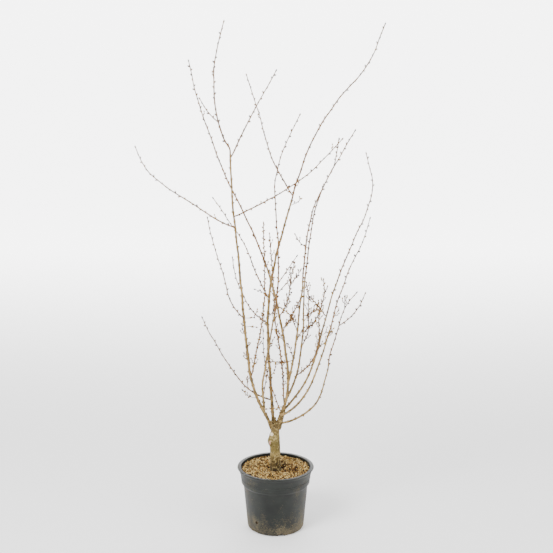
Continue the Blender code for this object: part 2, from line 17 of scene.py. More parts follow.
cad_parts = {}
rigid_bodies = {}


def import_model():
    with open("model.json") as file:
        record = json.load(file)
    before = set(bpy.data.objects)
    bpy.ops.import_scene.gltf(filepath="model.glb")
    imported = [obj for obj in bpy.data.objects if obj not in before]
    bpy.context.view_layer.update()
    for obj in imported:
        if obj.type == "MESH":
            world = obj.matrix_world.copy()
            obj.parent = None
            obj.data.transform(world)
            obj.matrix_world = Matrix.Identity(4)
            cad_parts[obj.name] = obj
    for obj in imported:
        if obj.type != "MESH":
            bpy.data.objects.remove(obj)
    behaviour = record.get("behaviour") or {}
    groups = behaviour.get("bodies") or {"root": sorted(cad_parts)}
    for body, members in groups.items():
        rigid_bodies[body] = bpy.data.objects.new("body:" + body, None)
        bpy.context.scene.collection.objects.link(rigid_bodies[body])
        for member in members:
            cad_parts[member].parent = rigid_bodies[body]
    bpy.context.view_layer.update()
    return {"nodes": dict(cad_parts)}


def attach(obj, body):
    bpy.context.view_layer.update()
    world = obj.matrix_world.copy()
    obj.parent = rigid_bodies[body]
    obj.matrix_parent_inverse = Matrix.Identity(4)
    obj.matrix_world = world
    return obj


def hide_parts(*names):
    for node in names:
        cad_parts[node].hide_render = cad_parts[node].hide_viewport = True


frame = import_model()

MM = 0.001
GAP = 0.3 * MM  # between solids that touch in the real plant
UP = Vector((0, 0, 1))

# Pot
POT_HEIGHT = 0.215
RIM_RADIUS = 0.130
RIM_THICKNESS = 0.007
COLLAR_TOP_RADIUS = 0.1205
COLLAR_FOOT_RADIUS = 0.1165
COLLAR_FOOT = 0.160  # height of the step under the collar
STEP_FALL = 0.007  # height over which the wall steps in there
BODY_TOP_RADIUS = 0.1095
BODY_FOOT_RADIUS = 0.0965
FOOT_BEVEL = 0.009
POT_WALL = 0.0025
POT_FLOOR = 0.004
NOTCHES = 6
NOTCH_WIDTH = 0.022
NOTCH_HEIGHT = 0.006
NOTCH_BEARING = -78  # degrees, the notch at the front
NOTCH_DEPTH = 0.027
SIDE_HOLES = 3
SIDE_HOLE_RADIUS = 0.005
SIDE_HOLE_HEIGHT = 0.042
SIDE_HOLE_BEARING = -130

# Growing medium
SOIL_RIM = 0.2055  # height of its edge
SOIL_CROWN = 0.2085
SOIL_SEAT = 0.1995  # the hollow that the trunk's foot stands in
SEAT_RADIUS = 0.024
SEAT_SLOPE = 0.012  # width over which the hollow rises
CROWN_RADIUS = 0.055
SHOULDER_RADIUS = 0.095
SOIL_EDGE = 0.116

# Trunk: height, offset to the right and radius of each section
GROUND = SOIL_SEAT + GAP
TRUNK_SECTIONS = (
    (GROUND, 0.000, 0.0205),
    (GROUND + 0.012, 0.000, 0.0182),
    (0.245, -0.001, 0.0172),
    (0.280, -0.002, 0.0176),
    (0.302, -0.004, 0.0192),
    (0.322, -0.004, 0.0182),
    (0.336, -0.002, 0.0150),
    (0.350, -0.001, 0.0138),
    (0.366, 0.000, 0.0125),
)
BURL = dict(place=(-0.0115, -0.005, 0.311), size=(0.0145, 0.0150, 0.0210), turn=18)
SHOULDER = dict(place=(-0.0095, -0.006, 0.338), size=(0.0080, 0.0085, 0.0070), turn=-30)
# Pruned stubs beside the fork: foot, tip and radius
STUBS = (
    ((-0.001, -0.002, 0.356), (-0.002, -0.009, 0.392), 0.0042),
    ((0.005, -0.006, 0.354), (0.004, -0.014, 0.377), 0.0046),
)

# Growth
SECTION_STEP = 0.046  # between the sections of a limb
BESIDE_STEP = 0.012  # the same, where it still runs beside its parent
BESIDE_ROOM = 1.2 * MM
COURSE_STEP = 0.004
KINK = 1.2 * MM  # how far a whip turns aside at a section
TURN = math.radians(144)  # from one section to the next, round the whip
TAPER = 1.25
BUD_SINK = 1.5 * MM  # of its lower point in the twig

# One limb. springs: the height at which it leaves its parent, or None where it grows on from the
# parent's tip. tip: across, depth and height of its end. bows: how far it stands to the right of
# the straight line from foot to tip, at even steps. depth_bow: the same, away from the front.
# radii: at foot and tip. parted: height at which the bough ends and its twigs begin.
# is_bough: it is a bough to its end. spurs: share of its nodes with a short spur, which counts
# where it is more than DENSE.
Limb = namedtuple(
    "Limb", "parent springs tip bows depth_bow radii parted is_bough spurs",
    defaults=(None, False, 0.12))


def mm(*values):
    return tuple(value * MM for value in values)


def unit(vector):
    return vector / np.linalg.norm(vector)


LIMBS = {
    "left_leader": Limb(
        None, (-0.009, -0.004, 0.349), (-0.141, -0.100, 1.286), mm(-42, -42, -33, -23, -16), -0.015,
        mm(4.8, 2.6), is_bough=True),
    "centre_leader": Limb(
        None, (-0.007, 0.006, 0.352), (0.351, 0.100, 1.680),
        mm(-47, -93, -127, -141, -141, -139, -125, -83, -19), 0.030, mm(5.0, 1.3), 1.115),
    "right_arm": Limb(
        None, (0.007, 0.000, 0.350), (-0.283, 0.130, 1.563),
        mm(64, 88, 97, 98, 86, 61, 32, 15, 1), -0.070, mm(4.5, 1.2), 0.900),
    "left_inner": Limb(
        "left_leader", 0.406, (0.073, -0.160, 1.409), mm(-19, -15, -11, -5, -10, -22, -40, -52, -35),
        -0.020, mm(3.2, 1.0), 0.770),
    "right_inner": Limb(
        "right_arm", 0.503, (0.243, -0.130, 1.359), mm(-5, -13, -26, -37, -52, -63, -65, -49, -26),
        -0.020, mm(3.3, 1.1), 0.880),
    "right_middle": Limb(
        "right_arm", 0.446, (0.211, 0.160, 1.307), mm(18, 17, 7, -10, -20, -27, -31, -22, 1), 0.010,
        mm(3.3, 1.1), 0.860),
    "right_outer": Limb(
        "right_arm", 0.413, (0.300, 0.120, 1.263), mm(39, 53, 50, 46, 45, 50, 57, 65, 54), 0.060,
        mm(3.5, 1.1), 0.830),
    "right_long": Limb(
        "right_arm", 0.391, (0.295, -0.120, 1.085), mm(34, 43, 40, 32, 23, 11, 6, 3, 8), -0.030,
        mm(3.4, 1.0), 0.720),
    "right_low": Limb(
        "right_arm", 0.365, (0.262, -0.040, 0.828), mm(38, 59, 64, 53, 38, 19, 8, -3, -12), -0.050,
        mm(3.4, 1.0), 0.600),
    "left_top": Limb(
        "left_leader", None, (-0.154, -0.170, 1.684), mm(-31, -39, -29), -0.010, mm(2.3, 1.1)),
    "left_top_side": Limb(
        "left_top", 1.385, (-0.228, -0.165, 1.458), mm(-5), 0, mm(1.5, 0.9)),
    "left_fork": Limb(
        "left_leader", 1.272, (0.001, -0.030, 1.537), mm(-4, -3), -0.010, mm(2.0, 1.0)),
    "left_across": Limb(
        "left_leader", 1.085, (0.196, -0.260, 1.345), mm(19, 23), -0.020, mm(2.0, 1.0)),
    "left_out": Limb(
        "left_leader", 1.053, (-0.451, 0.030, 1.293), mm(-17, -22, -31, -36, -32), -0.010,
        mm(2.1, 1.0)),
    "left_thin": Limb(
        "left_leader", 0.747, (-0.212, -0.130, 1.088), mm(-20, -14, -10, -8), -0.020, mm(1.7, 0.9)),
    "left_upright": Limb(
        "left_leader", 0.537, (-0.038, -0.100, 1.067), mm(22), -0.030, mm(1.8, 0.9), spurs=0.2),
    "centre_left": Limb(
        "centre_leader", 1.125, (-0.097, 0.220, 1.515), mm(-20, -8), 0.010, mm(2.0, 1.0)),
    "centre_shoot": Limb(
        "centre_leader", 0.782, (-0.209, 0.150, 1.110), mm(3, 16, 9), 0.010, mm(1.9, 0.9)),
    "centre_short": Limb(
        "centre_leader", 0.698, (-0.142, 0.030, 0.930), mm(-26, -28, -21), 0.010, mm(1.7, 0.9)),
    "centre_low": Limb(
        "centre_leader", 0.441, (-0.250, 0.120, 0.703), mm(-37, -45, -41, -31, -19), 0.030,
        mm(2.3, 0.9)),
    "inner_side": Limb(
        "left_inner", 0.876, (0.066, -0.130, 0.967), mm(0), 0, mm(1.3, 0.9)),
    "inner_low_side": Limb(
        "left_inner", 0.838, (0.048, -0.105, 0.890), mm(0), 0, mm(1.3, 0.9)),
    "middle_side": Limb(
        "right_middle", 0.949, (0.064, 0.030, 1.009), mm(-7), 0, mm(1.3, 0.9)),
    "low_side": Limb(
        "right_low", 0.723, (0.285, -0.110, 0.842), mm(13), 0, mm(1.5, 0.9)),
    "thin_centre": Limb(
        "right_arm", 0.425, (-0.020, 0.055, 1.005), mm(5, -5, -1), 0.004, mm(1.8, 0.9), spurs=0.5),
    "thin_left": Limb("left_leader", 0.420, (-0.027, 0.030, 0.539), mm(-4), 0, mm(1.5, 0.9)),
    "thin_low": Limb("right_arm", 0.398, (-0.042, 0.030, 0.685), mm(-13, -17), 0, mm(1.6, 0.9)),
    "spray_right": Limb(
        "right_middle", 0.530, (0.153, -0.100, 0.885), mm(32, 40, 33, 15, 16), -0.020,
        mm(1.5, 0.9), spurs=0.5),
    "spray_middle": Limb(
        "right_middle", 0.671, (0.160, 0.100, 0.766), mm(13), 0, mm(1.4, 0.9), spurs=0.5),
    "spray_short": Limb("right_middle", 0.727, (0.135, 0.000, 0.763), mm(3), 0, mm(1.3, 0.9)),
    "spray_outer": Limb(
        "right_outer", 0.715, (0.114, 0.020, 0.801), mm(2), 0, mm(1.4, 0.9), spurs=0.4),
    "spray_upright": Limb(
        "right_middle", 0.620, (0.103, 0.060, 0.839), mm(18, 16, 12), 0, mm(1.4, 0.9), spurs=0.5),
    "spray_inner": Limb(
        "right_inner", 0.708, (0.009, -0.085, 0.795), mm(7, 12), 0, mm(1.4, 0.9), spurs=0.4),
    "spray_arm": Limb(
        "right_arm", 0.701, (0.079, -0.090, 0.821), mm(5), 0, mm(1.4, 0.9), spurs=0.3),
    "spray_knot": Limb(
        "right_arm", 0.742, (0.048, -0.065, 0.877), mm(11), 0, mm(1.5, 1.2), spurs=0.6),
    "spray_low": Limb(
        "right_inner", 0.597, (-0.018, -0.060, 0.603), mm(-4), 0, mm(1.3, 0.9), spurs=0.4),
}
# The first stretch of a limb that rises from the trunk is thick: its length and the radius of its
# foot.
COLLARS = {
    "left_leader": (0.034, 0.0085),
    "centre_leader": (0.030, 0.0080),
    "right_arm": (0.086, 0.0112),
}


# How a limb grows


def smooth_at(values, share):
    """The value at this share of the way along values that stand at even steps."""
    last = len(values) - 1
    place = share * last
    k = min(int(place), last - 1)
    u = place - k
    before = values[k - 1] if k else 2 * values[0] - values[1]
    after = values[k + 2] if k + 2 <= last else 2 * values[last] - values[last - 1]
    a, b = values[k], values[k + 1]
    slope_a, slope_b = (b - before) / 2, (after - a) / 2
    rise = b - a
    return a + u * (slope_a + u * (3 * rise - 2 * slope_a - slope_b + u * (slope_a + slope_b - 2 * rise)))


def lengths_along(points):
    steps = np.linalg.norm(np.diff(points, axis=0), axis=1)
    return np.concatenate([[0], np.cumsum(steps)])


def tangents_of(points):
    steps = np.gradient(points, axis=0)
    return steps / np.linalg.norm(steps, axis=1)[:, None]


def points_at(points, along, wanted):
    return np.stack([np.interp(wanted, along, points[:, axis]) for axis in range(3)], axis=1)


class Course:
    """The middle line of a limb, from its foot on its parent to its tip, with its radii.

    sections are the points where the solid is measured, and points lie on straight lines between
    them, a course step apart."""

    def __init__(self, name, limb, parent):
        self.name, self.limb, self.parent = name, limb, parent
        self.random = random.Random(name)
        self.bearing = self.random.uniform(0, 2 * math.pi)
        if parent is None:
            line = self.bowed_line(np.array(limb.springs))
            root = [line[0]]
        elif limb.springs is None:
            line = self.bowed_line(parent.sections[-1])
            root = self.root_on_end(line)
        else:
            line = self.bowed_line(parent.at_height(limb.springs))
            root = self.root_on_side(line)
        self.root_count = len(root)
        self.sections = self.kinked(root, self.rest)
        self.section_along = lengths_along(self.sections)
        self.length = self.section_along[-1]
        evenly = np.linspace(0, self.length, int(self.length / COURSE_STEP) + 2)
        self.along = np.union1d(evenly, self.section_along)
        self.points = points_at(self.sections, self.section_along, self.along)

    def bowed_line(self, foot):
        """From the foot to the tip, bowed to the side and in depth."""
        run = np.array(self.limb.tip) - foot
        to_right = np.array((run[2], 0, -run[0])) / math.hypot(run[0], run[2])
        away = np.array((0.0, 1.0, 0.0))
        bows = (0, *self.limb.bows, 0)
        count = max(int(np.linalg.norm(run) / COURSE_STEP), 6)
        line = []
        for step in range(count + 1):
            share = step / count
            side = smooth_at(bows, share) * to_right
            deep = 4 * share * (1 - share) * self.limb.depth_bow * away
            line.append(foot + share * run + side + deep)
        line = np.array(line)
        self.rest = self.evenly(line)
        return line

    def evenly(self, line):
        along = lengths_along(line)
        count = max(int(round(along[-1] / SECTION_STEP)), 2)
        return points_at(line, along, np.linspace(0, along[-1], count + 1))[1:]

    def root_on_end(self, line):
        """It keeps the direction of its parent's end at first, so that the two faces are parallel."""
        heading = unit(self.parent.sections[-1] - self.parent.sections[-2])
        return [line[0], line[0] + heading * BESIDE_STEP]

    def root_on_side(self, line):
        """It leaves the parent's side squarely, and is kept clear until it has left by itself."""
        parent, own = self.parent, self.limb.radii[0]
        near = parent.nearest(line)
        tangents = tangents_of(parent.points)[near]
        away = line - parent.points[near]
        away -= np.sum(away * tangents, axis=1)[:, None] * tangents
        distance = np.linalg.norm(away, axis=1)
        room = parent.radius_at(parent.along[near]) + own + BESIDE_ROOM
        inside = np.nonzero(distance < room)[0]
        first = min(inside[-1] + 1, len(line) - 2)
        outward = unit(away[first] - np.dot(away[first], tangents[0]) * tangents[0])
        foot = parent.points[near[0]]
        surface = parent.radius_at(parent.along[near[0]])
        square = np.linspace(surface + GAP, room[0], 3)
        root = [foot + outward * reach for reach in square]
        for k in range(first):
            beside = parent.points[near[k]] + outward * room[k]
            if np.dot(beside - root[-1], tangents[0]) > BESIDE_STEP:
                root.append(beside)
        root.append(line[first])
        self.rest = self.evenly(line[first:])
        return root

    def kinked(self, root, rest):
        """The whip turns a little aside at each section."""
        last = len(rest) - 1
        sections = list(root)
        for k, point in enumerate(rest):
            turn = self.bearing + k * TURN
            size = KINK * self.random.uniform(0.5, 1.0) * min(1, k / 2) * (k < last)
            sections.append(point + np.array((math.cos(turn) * size, math.sin(turn) * size, 0)))
        return np.array(sections)

    def radius_at(self, distance):
        foot, tip = self.limb.radii
        share = np.clip(1 - np.asarray(distance) / self.length, 0, 1)
        radius = tip + (foot - tip) * share**TAPER
        if self.name in COLLARS:
            reach, thick = COLLARS[self.name]
            radius = radius + (thick - foot) * np.clip(1 - np.asarray(distance) / reach, 0, 1) ** 0.5
        return radius

    def nearest(self, points):
        gaps = np.linalg.norm(points[:, None] - self.points[None], axis=2)
        return gaps.argmin(axis=1)

    def at_height(self, height):
        return self.points[np.abs(self.points[:, 2] - height).argmin()]


def grow_courses():
    courses = {}
    for name, limb in LIMBS.items():
        courses[name] = Course(name, limb, courses.get(limb.parent))
    return courses


def side_of(tangent, bearing):
    """The direction at this bearing round the twig."""
    across = Vector((1, 0, 0)).cross(Vector(tangent))
    if across.length < 0.2:
        across = Vector((0, 1, 0)).cross(Vector(tangent))
    across.normalize()
    other = Vector(tangent).cross(across)
    return np.array(across * math.cos(bearing) + other * math.sin(bearing))


def inner_radius(height):
    """Radius of the pot's inside at this height."""
    if height > COLLAR_FOOT:
        share = (height - COLLAR_FOOT) / (POT_HEIGHT - COLLAR_FOOT)
        return COLLAR_FOOT_RADIUS + share * (COLLAR_TOP_RADIUS - COLLAR_FOOT_RADIUS) - POT_WALL
    share = height / COLLAR_FOOT
    return BODY_FOOT_RADIUS + share * (BODY_TOP_RADIUS - BODY_FOOT_RADIUS) - POT_WALL


def inner_outline():
    """The pot's inside, from the middle of its floor to the height of its rim."""
    step_foot = COLLAR_FOOT - STEP_FALL
    step_top = COLLAR_FOOT + 0.001
    return [
        (0, POT_FLOOR),
        (inner_radius(0) - FOOT_BEVEL / 2, POT_FLOOR),
        (inner_radius(FOOT_BEVEL), FOOT_BEVEL + POT_FLOOR),
        (inner_radius(step_foot), step_foot),
        (inner_radius(step_top), step_top),
        (inner_radius(POT_HEIGHT), POT_HEIGHT),
    ]


# What grows only here, finer than the solids

WHIP_STEP = 3 * MM  # between the rings of a whip
BARK_SKIN = 0.4 * MM  # the bark over the plain solid wood
CROTCH_SHARES = (0, 0.2, 0.4, 0.6, 0.8)  # where the way out of the parent has its points
LEADER_FREE = 50 * MM  # the first stretch with no buds, on a limb from the trunk
END_FREE = 20 * MM  # the same, on one that grows on from its parent's tip
SIDE_FREE = 6 * MM  # the same, outside the side of the parent
SPRIG_FREE = 9 * MM
TIP_FREE = 8 * MM
NODE_SWELL = 0.38  # how much thicker a whip is at a bud
NODE_REACH = 2.6 * MM

BUD_STEP = 17 * MM
BUD_STEP_THICK = 28 * MM  # on wood that is thicker than THICK_WOOD
THICK_WOOD = 2.6 * MM
THICK_WOOD_BUD = 0.85  # size of its buds beside those of thinner wood
FINE_BUD = (7.0 * MM, 2.7 * MM)  # length and radius
TIP_BUD = (9.0 * MM, 2.9 * MM)
FINE_BUD_SPREAD = math.radians(48)
BUD_SEAT = 0.7  # share of the wood's radius at which a bud's foot sits
BUD_WIDTH = (1.08, 0.55)  # at its foot, and how much of it is lost on the way to the tip
BUD_TURN_SPREAD = 0.3
BUD_STEP_SPREAD = (0.7, 1.25)
BUD_SIZES = (0.85, 1.2)
SPUR_BUD_SIZES = (0.6, 0.9)
SPUR_TIP_BUD_SIZES = (0.65, 1.0)
# Tones of the buds run from 0, dark, to 1, golden
CLEAN_TONES = (0, 0.75)
DENSE_TONES = (0.35, 1)
SPUR_TONES = (0.4, 1)
TONE_LIMITS = (0.50, 0.82)  # from dark to brown, and from brown to golden

SPARSE_SPURS = 0.02  # share of spurs on the clean outer whips
DENSE = 0.15  # a whip with a larger share of spurs is crowded with buds
DENSE_STEP = 0.42  # share of the usual step on such a whip
SPUR_WOOD = 4 * MM  # no spur grows on wood thicker than this
SPUR_REACH = (6, 16)  # millimetres
SPUR_REACH_DENSE = (6, 24)
SPUR_RADII = (0.95 * MM, 0.7 * MM)
SPUR_BUD_STEP = 5 * MM
SPUR_TIP_BUDS = (2, 3, 3, 4)
SPUR_START = 3 * MM  # the start of a spur, which is not tested for room
SPUR_LEAN = (0.6, 0.8)  # how far a spur, and a bud on it, leans outwards and onwards
SPUR_RISE = (0.4, 1.1)  # how far its outer half turns up
TIP_SPREAD = (0.1, 0.6)  # of the buds at its end
TWIG_CLEAR = 1.5 * MM  # between a spur and the other whips
FULL_TURN = 6.28  # radians, for a bud or a chip that may face any way
SPRIG_RADII = (1.0 * MM, 0.75 * MM)
SPRIG_LIFT = 0.08  # how much a sprig's middle is raised, for its length

# One whip as it shows. along: distances along its line. free: its first stretch, with no buds.
# tone: the number of its bark.
Whip = namedtuple("Whip", "name line along radii spurs free tone")

# Small side twigs of the crowded middle: parent, height on it, where the tip stands from there
# (right, away, up), how many millimetres it bows to the right, and its share of spurs
SPRIGS = {
    "rung": ("left_leader", 0.718, mm(36, 8, -2), 0, 0.2),
    "loop": ("left_leader", 0.682, mm(-8, -10, 65), -7, 0.2),
    "chain": ("left_leader", 0.580, mm(-1, -12, 82), -9, 0.7),
    "pale": ("left_leader", 0.750, mm(43, -14, 30), 18, 0.3),
    "curl": ("left_leader", 0.464, mm(-48, -10, 30), -12, 0.4),
    "low_sprig": ("centre_low", 0.472, mm(0, 12, 33), 0, 0.8),
    "fork_sprig": ("centre_leader", 0.771, mm(-45, 14, 43), 9, 0.3),
    "stub_sprig": ("centre_leader", 0.522, mm(17, -12, 46), 6, 0.4),
    "high_sprig": ("centre_leader", 1.096, mm(36, 16, 19), 6, 0.5),
    "low_rise": ("right_low", 0.776, mm(2, 10, 41), 0, 0.8),
    "arm_sprig": ("right_arm", 0.438, mm(-60, -14, -12), -12, 0.4),
    "faint": ("right_arm", 0.481, mm(-5, 12, 77), 6, 0.3),
    "knot_a": ("spray_knot", 0.873, mm(0, -6, 38), 0, 0.6),
    "knot_b": ("spray_knot", 0.873, mm(13, 6, 57), 0, 0.7),
    "knot_c": ("spray_knot", 0.866, mm(33, 2, 43), 6, 0.8),
    "knot_d": ("spray_knot", 0.854, mm(19, -9, 35), 3, 0.8),
    "inner_rise": ("right_inner", 0.602, mm(-16, -10, 54), 0, 0.5),
    "inner_twig": ("right_inner", 0.656, mm(20, 12, 43), 0, 0.7),
    "outer_twig": ("right_outer", 0.650, mm(34, -8, 18), 0, 0.5),
    "outer_rise": ("right_outer", 0.613, mm(37, -12, 51), 9, 0.6),
    "long_a": ("right_long", 0.698, mm(17, 12, 19), 0, 0.8),
    "long_b": ("right_long", 0.751, mm(18, 12, 28), 0, 0.9),
    "mid_a": ("right_inner", 0.774, mm(-8, -12, 31), 0, 0.8),
    "mid_b": ("right_inner", 0.711, mm(-18, 12, 35), 6, 0.8),
    "mid_c": ("right_arm", 0.696, mm(32, -10, 53), 6, 0.8),
    "mid_d": ("right_arm", 0.747, mm(25, -12, 50), 6, 0.8),
    "mid_e": ("centre_leader", 0.680, mm(-20, -12, 52), 0, 0.6),
    "mid_f": ("centre_leader", 0.604, mm(19, -12, 54), 0, 0.6),
    "mid_g": ("centre_leader", 0.719, mm(28, -16, 67), 9, 0.8),
    "mid_h": ("right_middle", 0.707, mm(42, -10, 48), 0, 0.9),
    "mid_i": ("right_middle", 0.664, mm(42, 14, 42), 0, 0.8),
    "mid_j": ("right_arm", 0.648, mm(-25, 14, 47), 0, 0.8),
}

# Barks of the limbs: dark, middle and light tone, and roughness
BARKS = {
    "tan": ("#57431D", "#7B6132", "#A08350", 0.60),
    "grey": ("#463B2C", "#6A5B45", "#8E7E66", 0.65),
    "golden": ("#6B4F1D", "#957330", "#B5934F", 0.58),
    "russet": ("#4E3414", "#745326", "#9A763E", 0.56),
}
# The limbs whose bark isn't tan
BARK_OF = {
    "grey": ("left_top", "left_top_side", "left_fork", "left_inner", "right_inner", "left_thin"),
    "golden": ("right_arm", "centre_left", "left_across", "left_out", "thin_centre", "centre_low"),
    "russet": ("centre_leader", "left_leader", "right_outer", "right_long"),
}
PORE = "#AD976C"
YOUNG_TINT = (0.70, 0.52, 0.42)  # the young bark's red, green and blue beside the boughs'


def spline_between(share, start, start_slope, end, end_slope):
    """The point at this share of the way along a smooth stretch with these ends and slopes."""
    rising = (1 + 2 * share) * (1 - share) ** 2 * start + share * (1 - share) ** 2 * start_slope
    falling = share**2 * (3 - 2 * share) * end - share**2 * (1 - share) * end_slope
    return rising + falling


def smooth_line(knots, step):
    """A smooth curve through the knots, with points this step apart."""
    knots = np.array(knots, float)
    along = lengths_along(knots)
    slopes = np.gradient(knots, along, axis=0)
    wanted = np.linspace(0, along[-1], int(along[-1] / step) + 2)
    k = np.clip(np.searchsorted(along, wanted) - 1, 0, len(knots) - 2)
    reach = (along[k + 1] - along[k])[:, None]
    share = (wanted - along[k])[:, None] / reach
    return spline_between(share, knots[k], reach * slopes[k], knots[k + 1], reach * slopes[k + 1])


def crotch(foot, upward, target, onward):
    """The way out of the parent: it leaves along the parent and turns to the limb's own way."""
    chord = np.linalg.norm(target - foot)
    return [spline_between(share, foot, chord * upward, target, chord * onward) for share in CROTCH_SHARES]


def tone_of(name):
    """The number of this limb's bark."""
    for number, bark in enumerate(BARKS):
        if name in BARK_OF.get(bark, ()):
            return number
    return 0


def whip_of(course):
    """A limb as it shows, from inside its parent to its tip."""
    limb = course.limb
    if course.parent is None:
        knots = list(course.sections)
        free = LEADER_FREE
    elif limb.springs is None:
        heading = unit(course.parent.sections[-1] - course.parent.sections[-2])
        knots = [course.sections[0] - heading * 2 * MM, *course.sections[1:]]
        free = END_FREE
    else:
        own = course.sections[course.root_count - 1:]
        near = np.abs(course.parent.points[:, 2] - limb.springs).argmin()
        foot = course.parent.points[near]
        upward = tangents_of(course.parent.points)[near]
        way_out = crotch(foot, upward, own[0], unit(own[1] - own[0]))
        knots = [*way_out, *own]
        free = lengths_along(np.array([*way_out, own[0]]))[-1] + SIDE_FREE
    line = smooth_line(knots, WHIP_STEP)
    along = lengths_along(line)
    radii = course.radius_at(along * course.length / along[-1]) + BARK_SKIN
    spurs = limb.spurs if limb.spurs > DENSE else SPARSE_SPURS
    return Whip(course.name, line, along, radii, spurs, free, tone_of(course.name))


def sprig_of(name, courses):
    """A small side twig, from the middle of its parent to its tip."""
    parent, height, reach, bow, spurs = SPRIGS[name]
    foot = courses[parent].at_height(height)
    reach = np.array(reach)
    to_right = unit(np.array((reach[2], 0, -reach[0])))
    lift = np.array((0, 0, SPRIG_LIFT * np.linalg.norm(reach)))
    middle = foot + 0.5 * reach + bow * MM * to_right + lift
    line = smooth_line([foot, middle, foot + reach], WHIP_STEP)
    along = lengths_along(line)
    radii = np.linspace(*SPRIG_RADII, len(line))
    return Whip(name, line, along, radii, spurs, SPRIG_FREE, tone_of(parent))


def leaning(outward, onward):
    """The direction of a spur on its whip, and of a bud on its spur."""
    return unit(outward * SPUR_LEAN[0] + onward * SPUR_LEAN[1])


class Thicket:
    """Where the whips are, so that no spur touches another whip, and what has grown on them."""

    def __init__(self, whips):
        self.points = np.concatenate([whip.line for whip in whips])
        self.radii = np.concatenate([whip.radii for whip in whips])
        self.owners = np.concatenate([np.full(len(whip.line), k) for k, whip in enumerate(whips)])
        self.twigs = []  # line, radii and number of the bark
        self.buds = []  # foot, heading, length and radius, size, tone
        self.swollen = [self.grow_on(number, whip) for number, whip in enumerate(whips)]

    def is_free(self, points, owner):
        others = self.owners != owner
        gaps = np.linalg.norm(points[:, None] - self.points[others][None], axis=2)
        return bool((gaps > self.radii[others][None] + TWIG_CLEAR).all())

    def grow_on(self, number, whip):
        """Buds and spurs along one whip. It gives the whip's radii, thicker at its nodes."""
        chance = random.Random(whip.name + "_fine")
        tangents = tangents_of(whip.line)
        bearing = chance.uniform(0, 2 * math.pi)
        place = whip.free + chance.uniform(0, 0.5) * BUD_STEP
        dense = whip.spurs > DENSE
        radii = np.array(whip.radii)
        while place < whip.along[-1] - TIP_FREE:
            k = int(np.searchsorted(whip.along, place))
            radius = whip.radii[k]
            outward = side_of(tangents[k], bearing)
            radii *= 1 + NODE_SWELL * np.exp(-(((whip.along - whip.along[k]) / NODE_REACH) ** 2))
            if chance.random() < whip.spurs and radius < SPUR_WOOD:
                self.add_spur(whip, number, k, outward, tangents[k], chance, dense)
            else:
                heading = outward * math.sin(FINE_BUD_SPREAD) + tangents[k] * math.cos(FINE_BUD_SPREAD)
                size = chance.uniform(*BUD_SIZES) * (THICK_WOOD_BUD if radius > THICK_WOOD else 1)
                tone = chance.uniform(*(DENSE_TONES if dense else CLEAN_TONES))
                self.buds.append((whip.line[k] + outward * radius * BUD_SEAT, heading, FINE_BUD, size, tone))
            bearing += TURN + chance.uniform(-BUD_TURN_SPREAD, BUD_TURN_SPREAD)
            step = BUD_STEP_THICK if radius > THICK_WOOD else BUD_STEP
            place += step * chance.uniform(*BUD_STEP_SPREAD) * (DENSE_STEP if dense else 1)
        end = whip.line[-1] - tangents[-1] * BUD_SINK
        self.buds.append((end, tangents[-1], TIP_BUD, 1.0, chance.random()))
        return radii

    def add_spur(self, whip, number, k, outward, tangent, chance, dense):
        """A short twig that ends in a cluster of buds."""
        reach = chance.uniform(*(SPUR_REACH_DENSE if dense else SPUR_REACH)) * MM
        bend = leaning(outward, tangent)
        lift = unit(bend + np.array((0, 0, chance.uniform(*SPUR_RISE))))
        foot = whip.line[k]
        knee = foot + bend * (whip.radii[k] + reach / 2)
        tip = knee + lift * reach / 2
        line = smooth_line([foot, knee, tip], WHIP_STEP)
        outer = line[np.linalg.norm(line - foot, axis=1) > whip.radii[k] + SPUR_START]
        if len(outer) < 1 or not self.is_free(outer, number):
            return
        self.twigs.append((line, np.linspace(*SPUR_RADII, len(line)), 0))
        for place in np.arange(SPUR_REACH[0] * MM, reach, SPUR_BUD_STEP):
            at = min(int(place / WHIP_STEP), len(line) - 1)
            heading = leaning(side_of(lift, chance.uniform(0, FULL_TURN)), lift)
            size = chance.uniform(*SPUR_BUD_SIZES)
            self.buds.append((line[at], heading, FINE_BUD, size, chance.uniform(*SPUR_TONES)))
        for _ in range(chance.choice(SPUR_TIP_BUDS)):
            across = side_of(lift, chance.uniform(0, FULL_TURN))
            heading = unit(lift + across * chance.uniform(*TIP_SPREAD))
            size = chance.uniform(*SPUR_TIP_BUD_SIZES)
            self.buds.append((tip - heading * MM, heading, FINE_BUD, size, chance.uniform(*SPUR_TONES)))


# Making meshes


def pick(*things):
    bpy.ops.object.select_all(action="DESELECT")
    for thing in things:
        thing.select_set(True)
    bpy.context.view_layer.objects.active = things[0]


def having(thing, **settings):
    """The same thing, once it has these settings."""
    for name, value in settings.items():
        setattr(thing, name, value)
    return thing


def apply_modifiers(thing):
    pick(thing)
    for modifier in list(thing.modifiers):
        bpy.ops.object.modifier_apply(modifier=modifier.name)


def place_in_mesh(thing):
    pick(thing)
    bpy.ops.object.transform_apply(location=True, rotation=True, scale=True)


def new_object(name, data, materials=()):
    thing = bpy.data.objects.new(name, data)
    bpy.context.scene.collection.objects.link(thing)
    for material in materials:
        data.materials.append(material)
    return thing


def dress(thing, *materials):
    """Gives the thing these materials in place of any others."""
    thing.data.materials.clear()
    for material in materials:
        thing.data.materials.append(material)


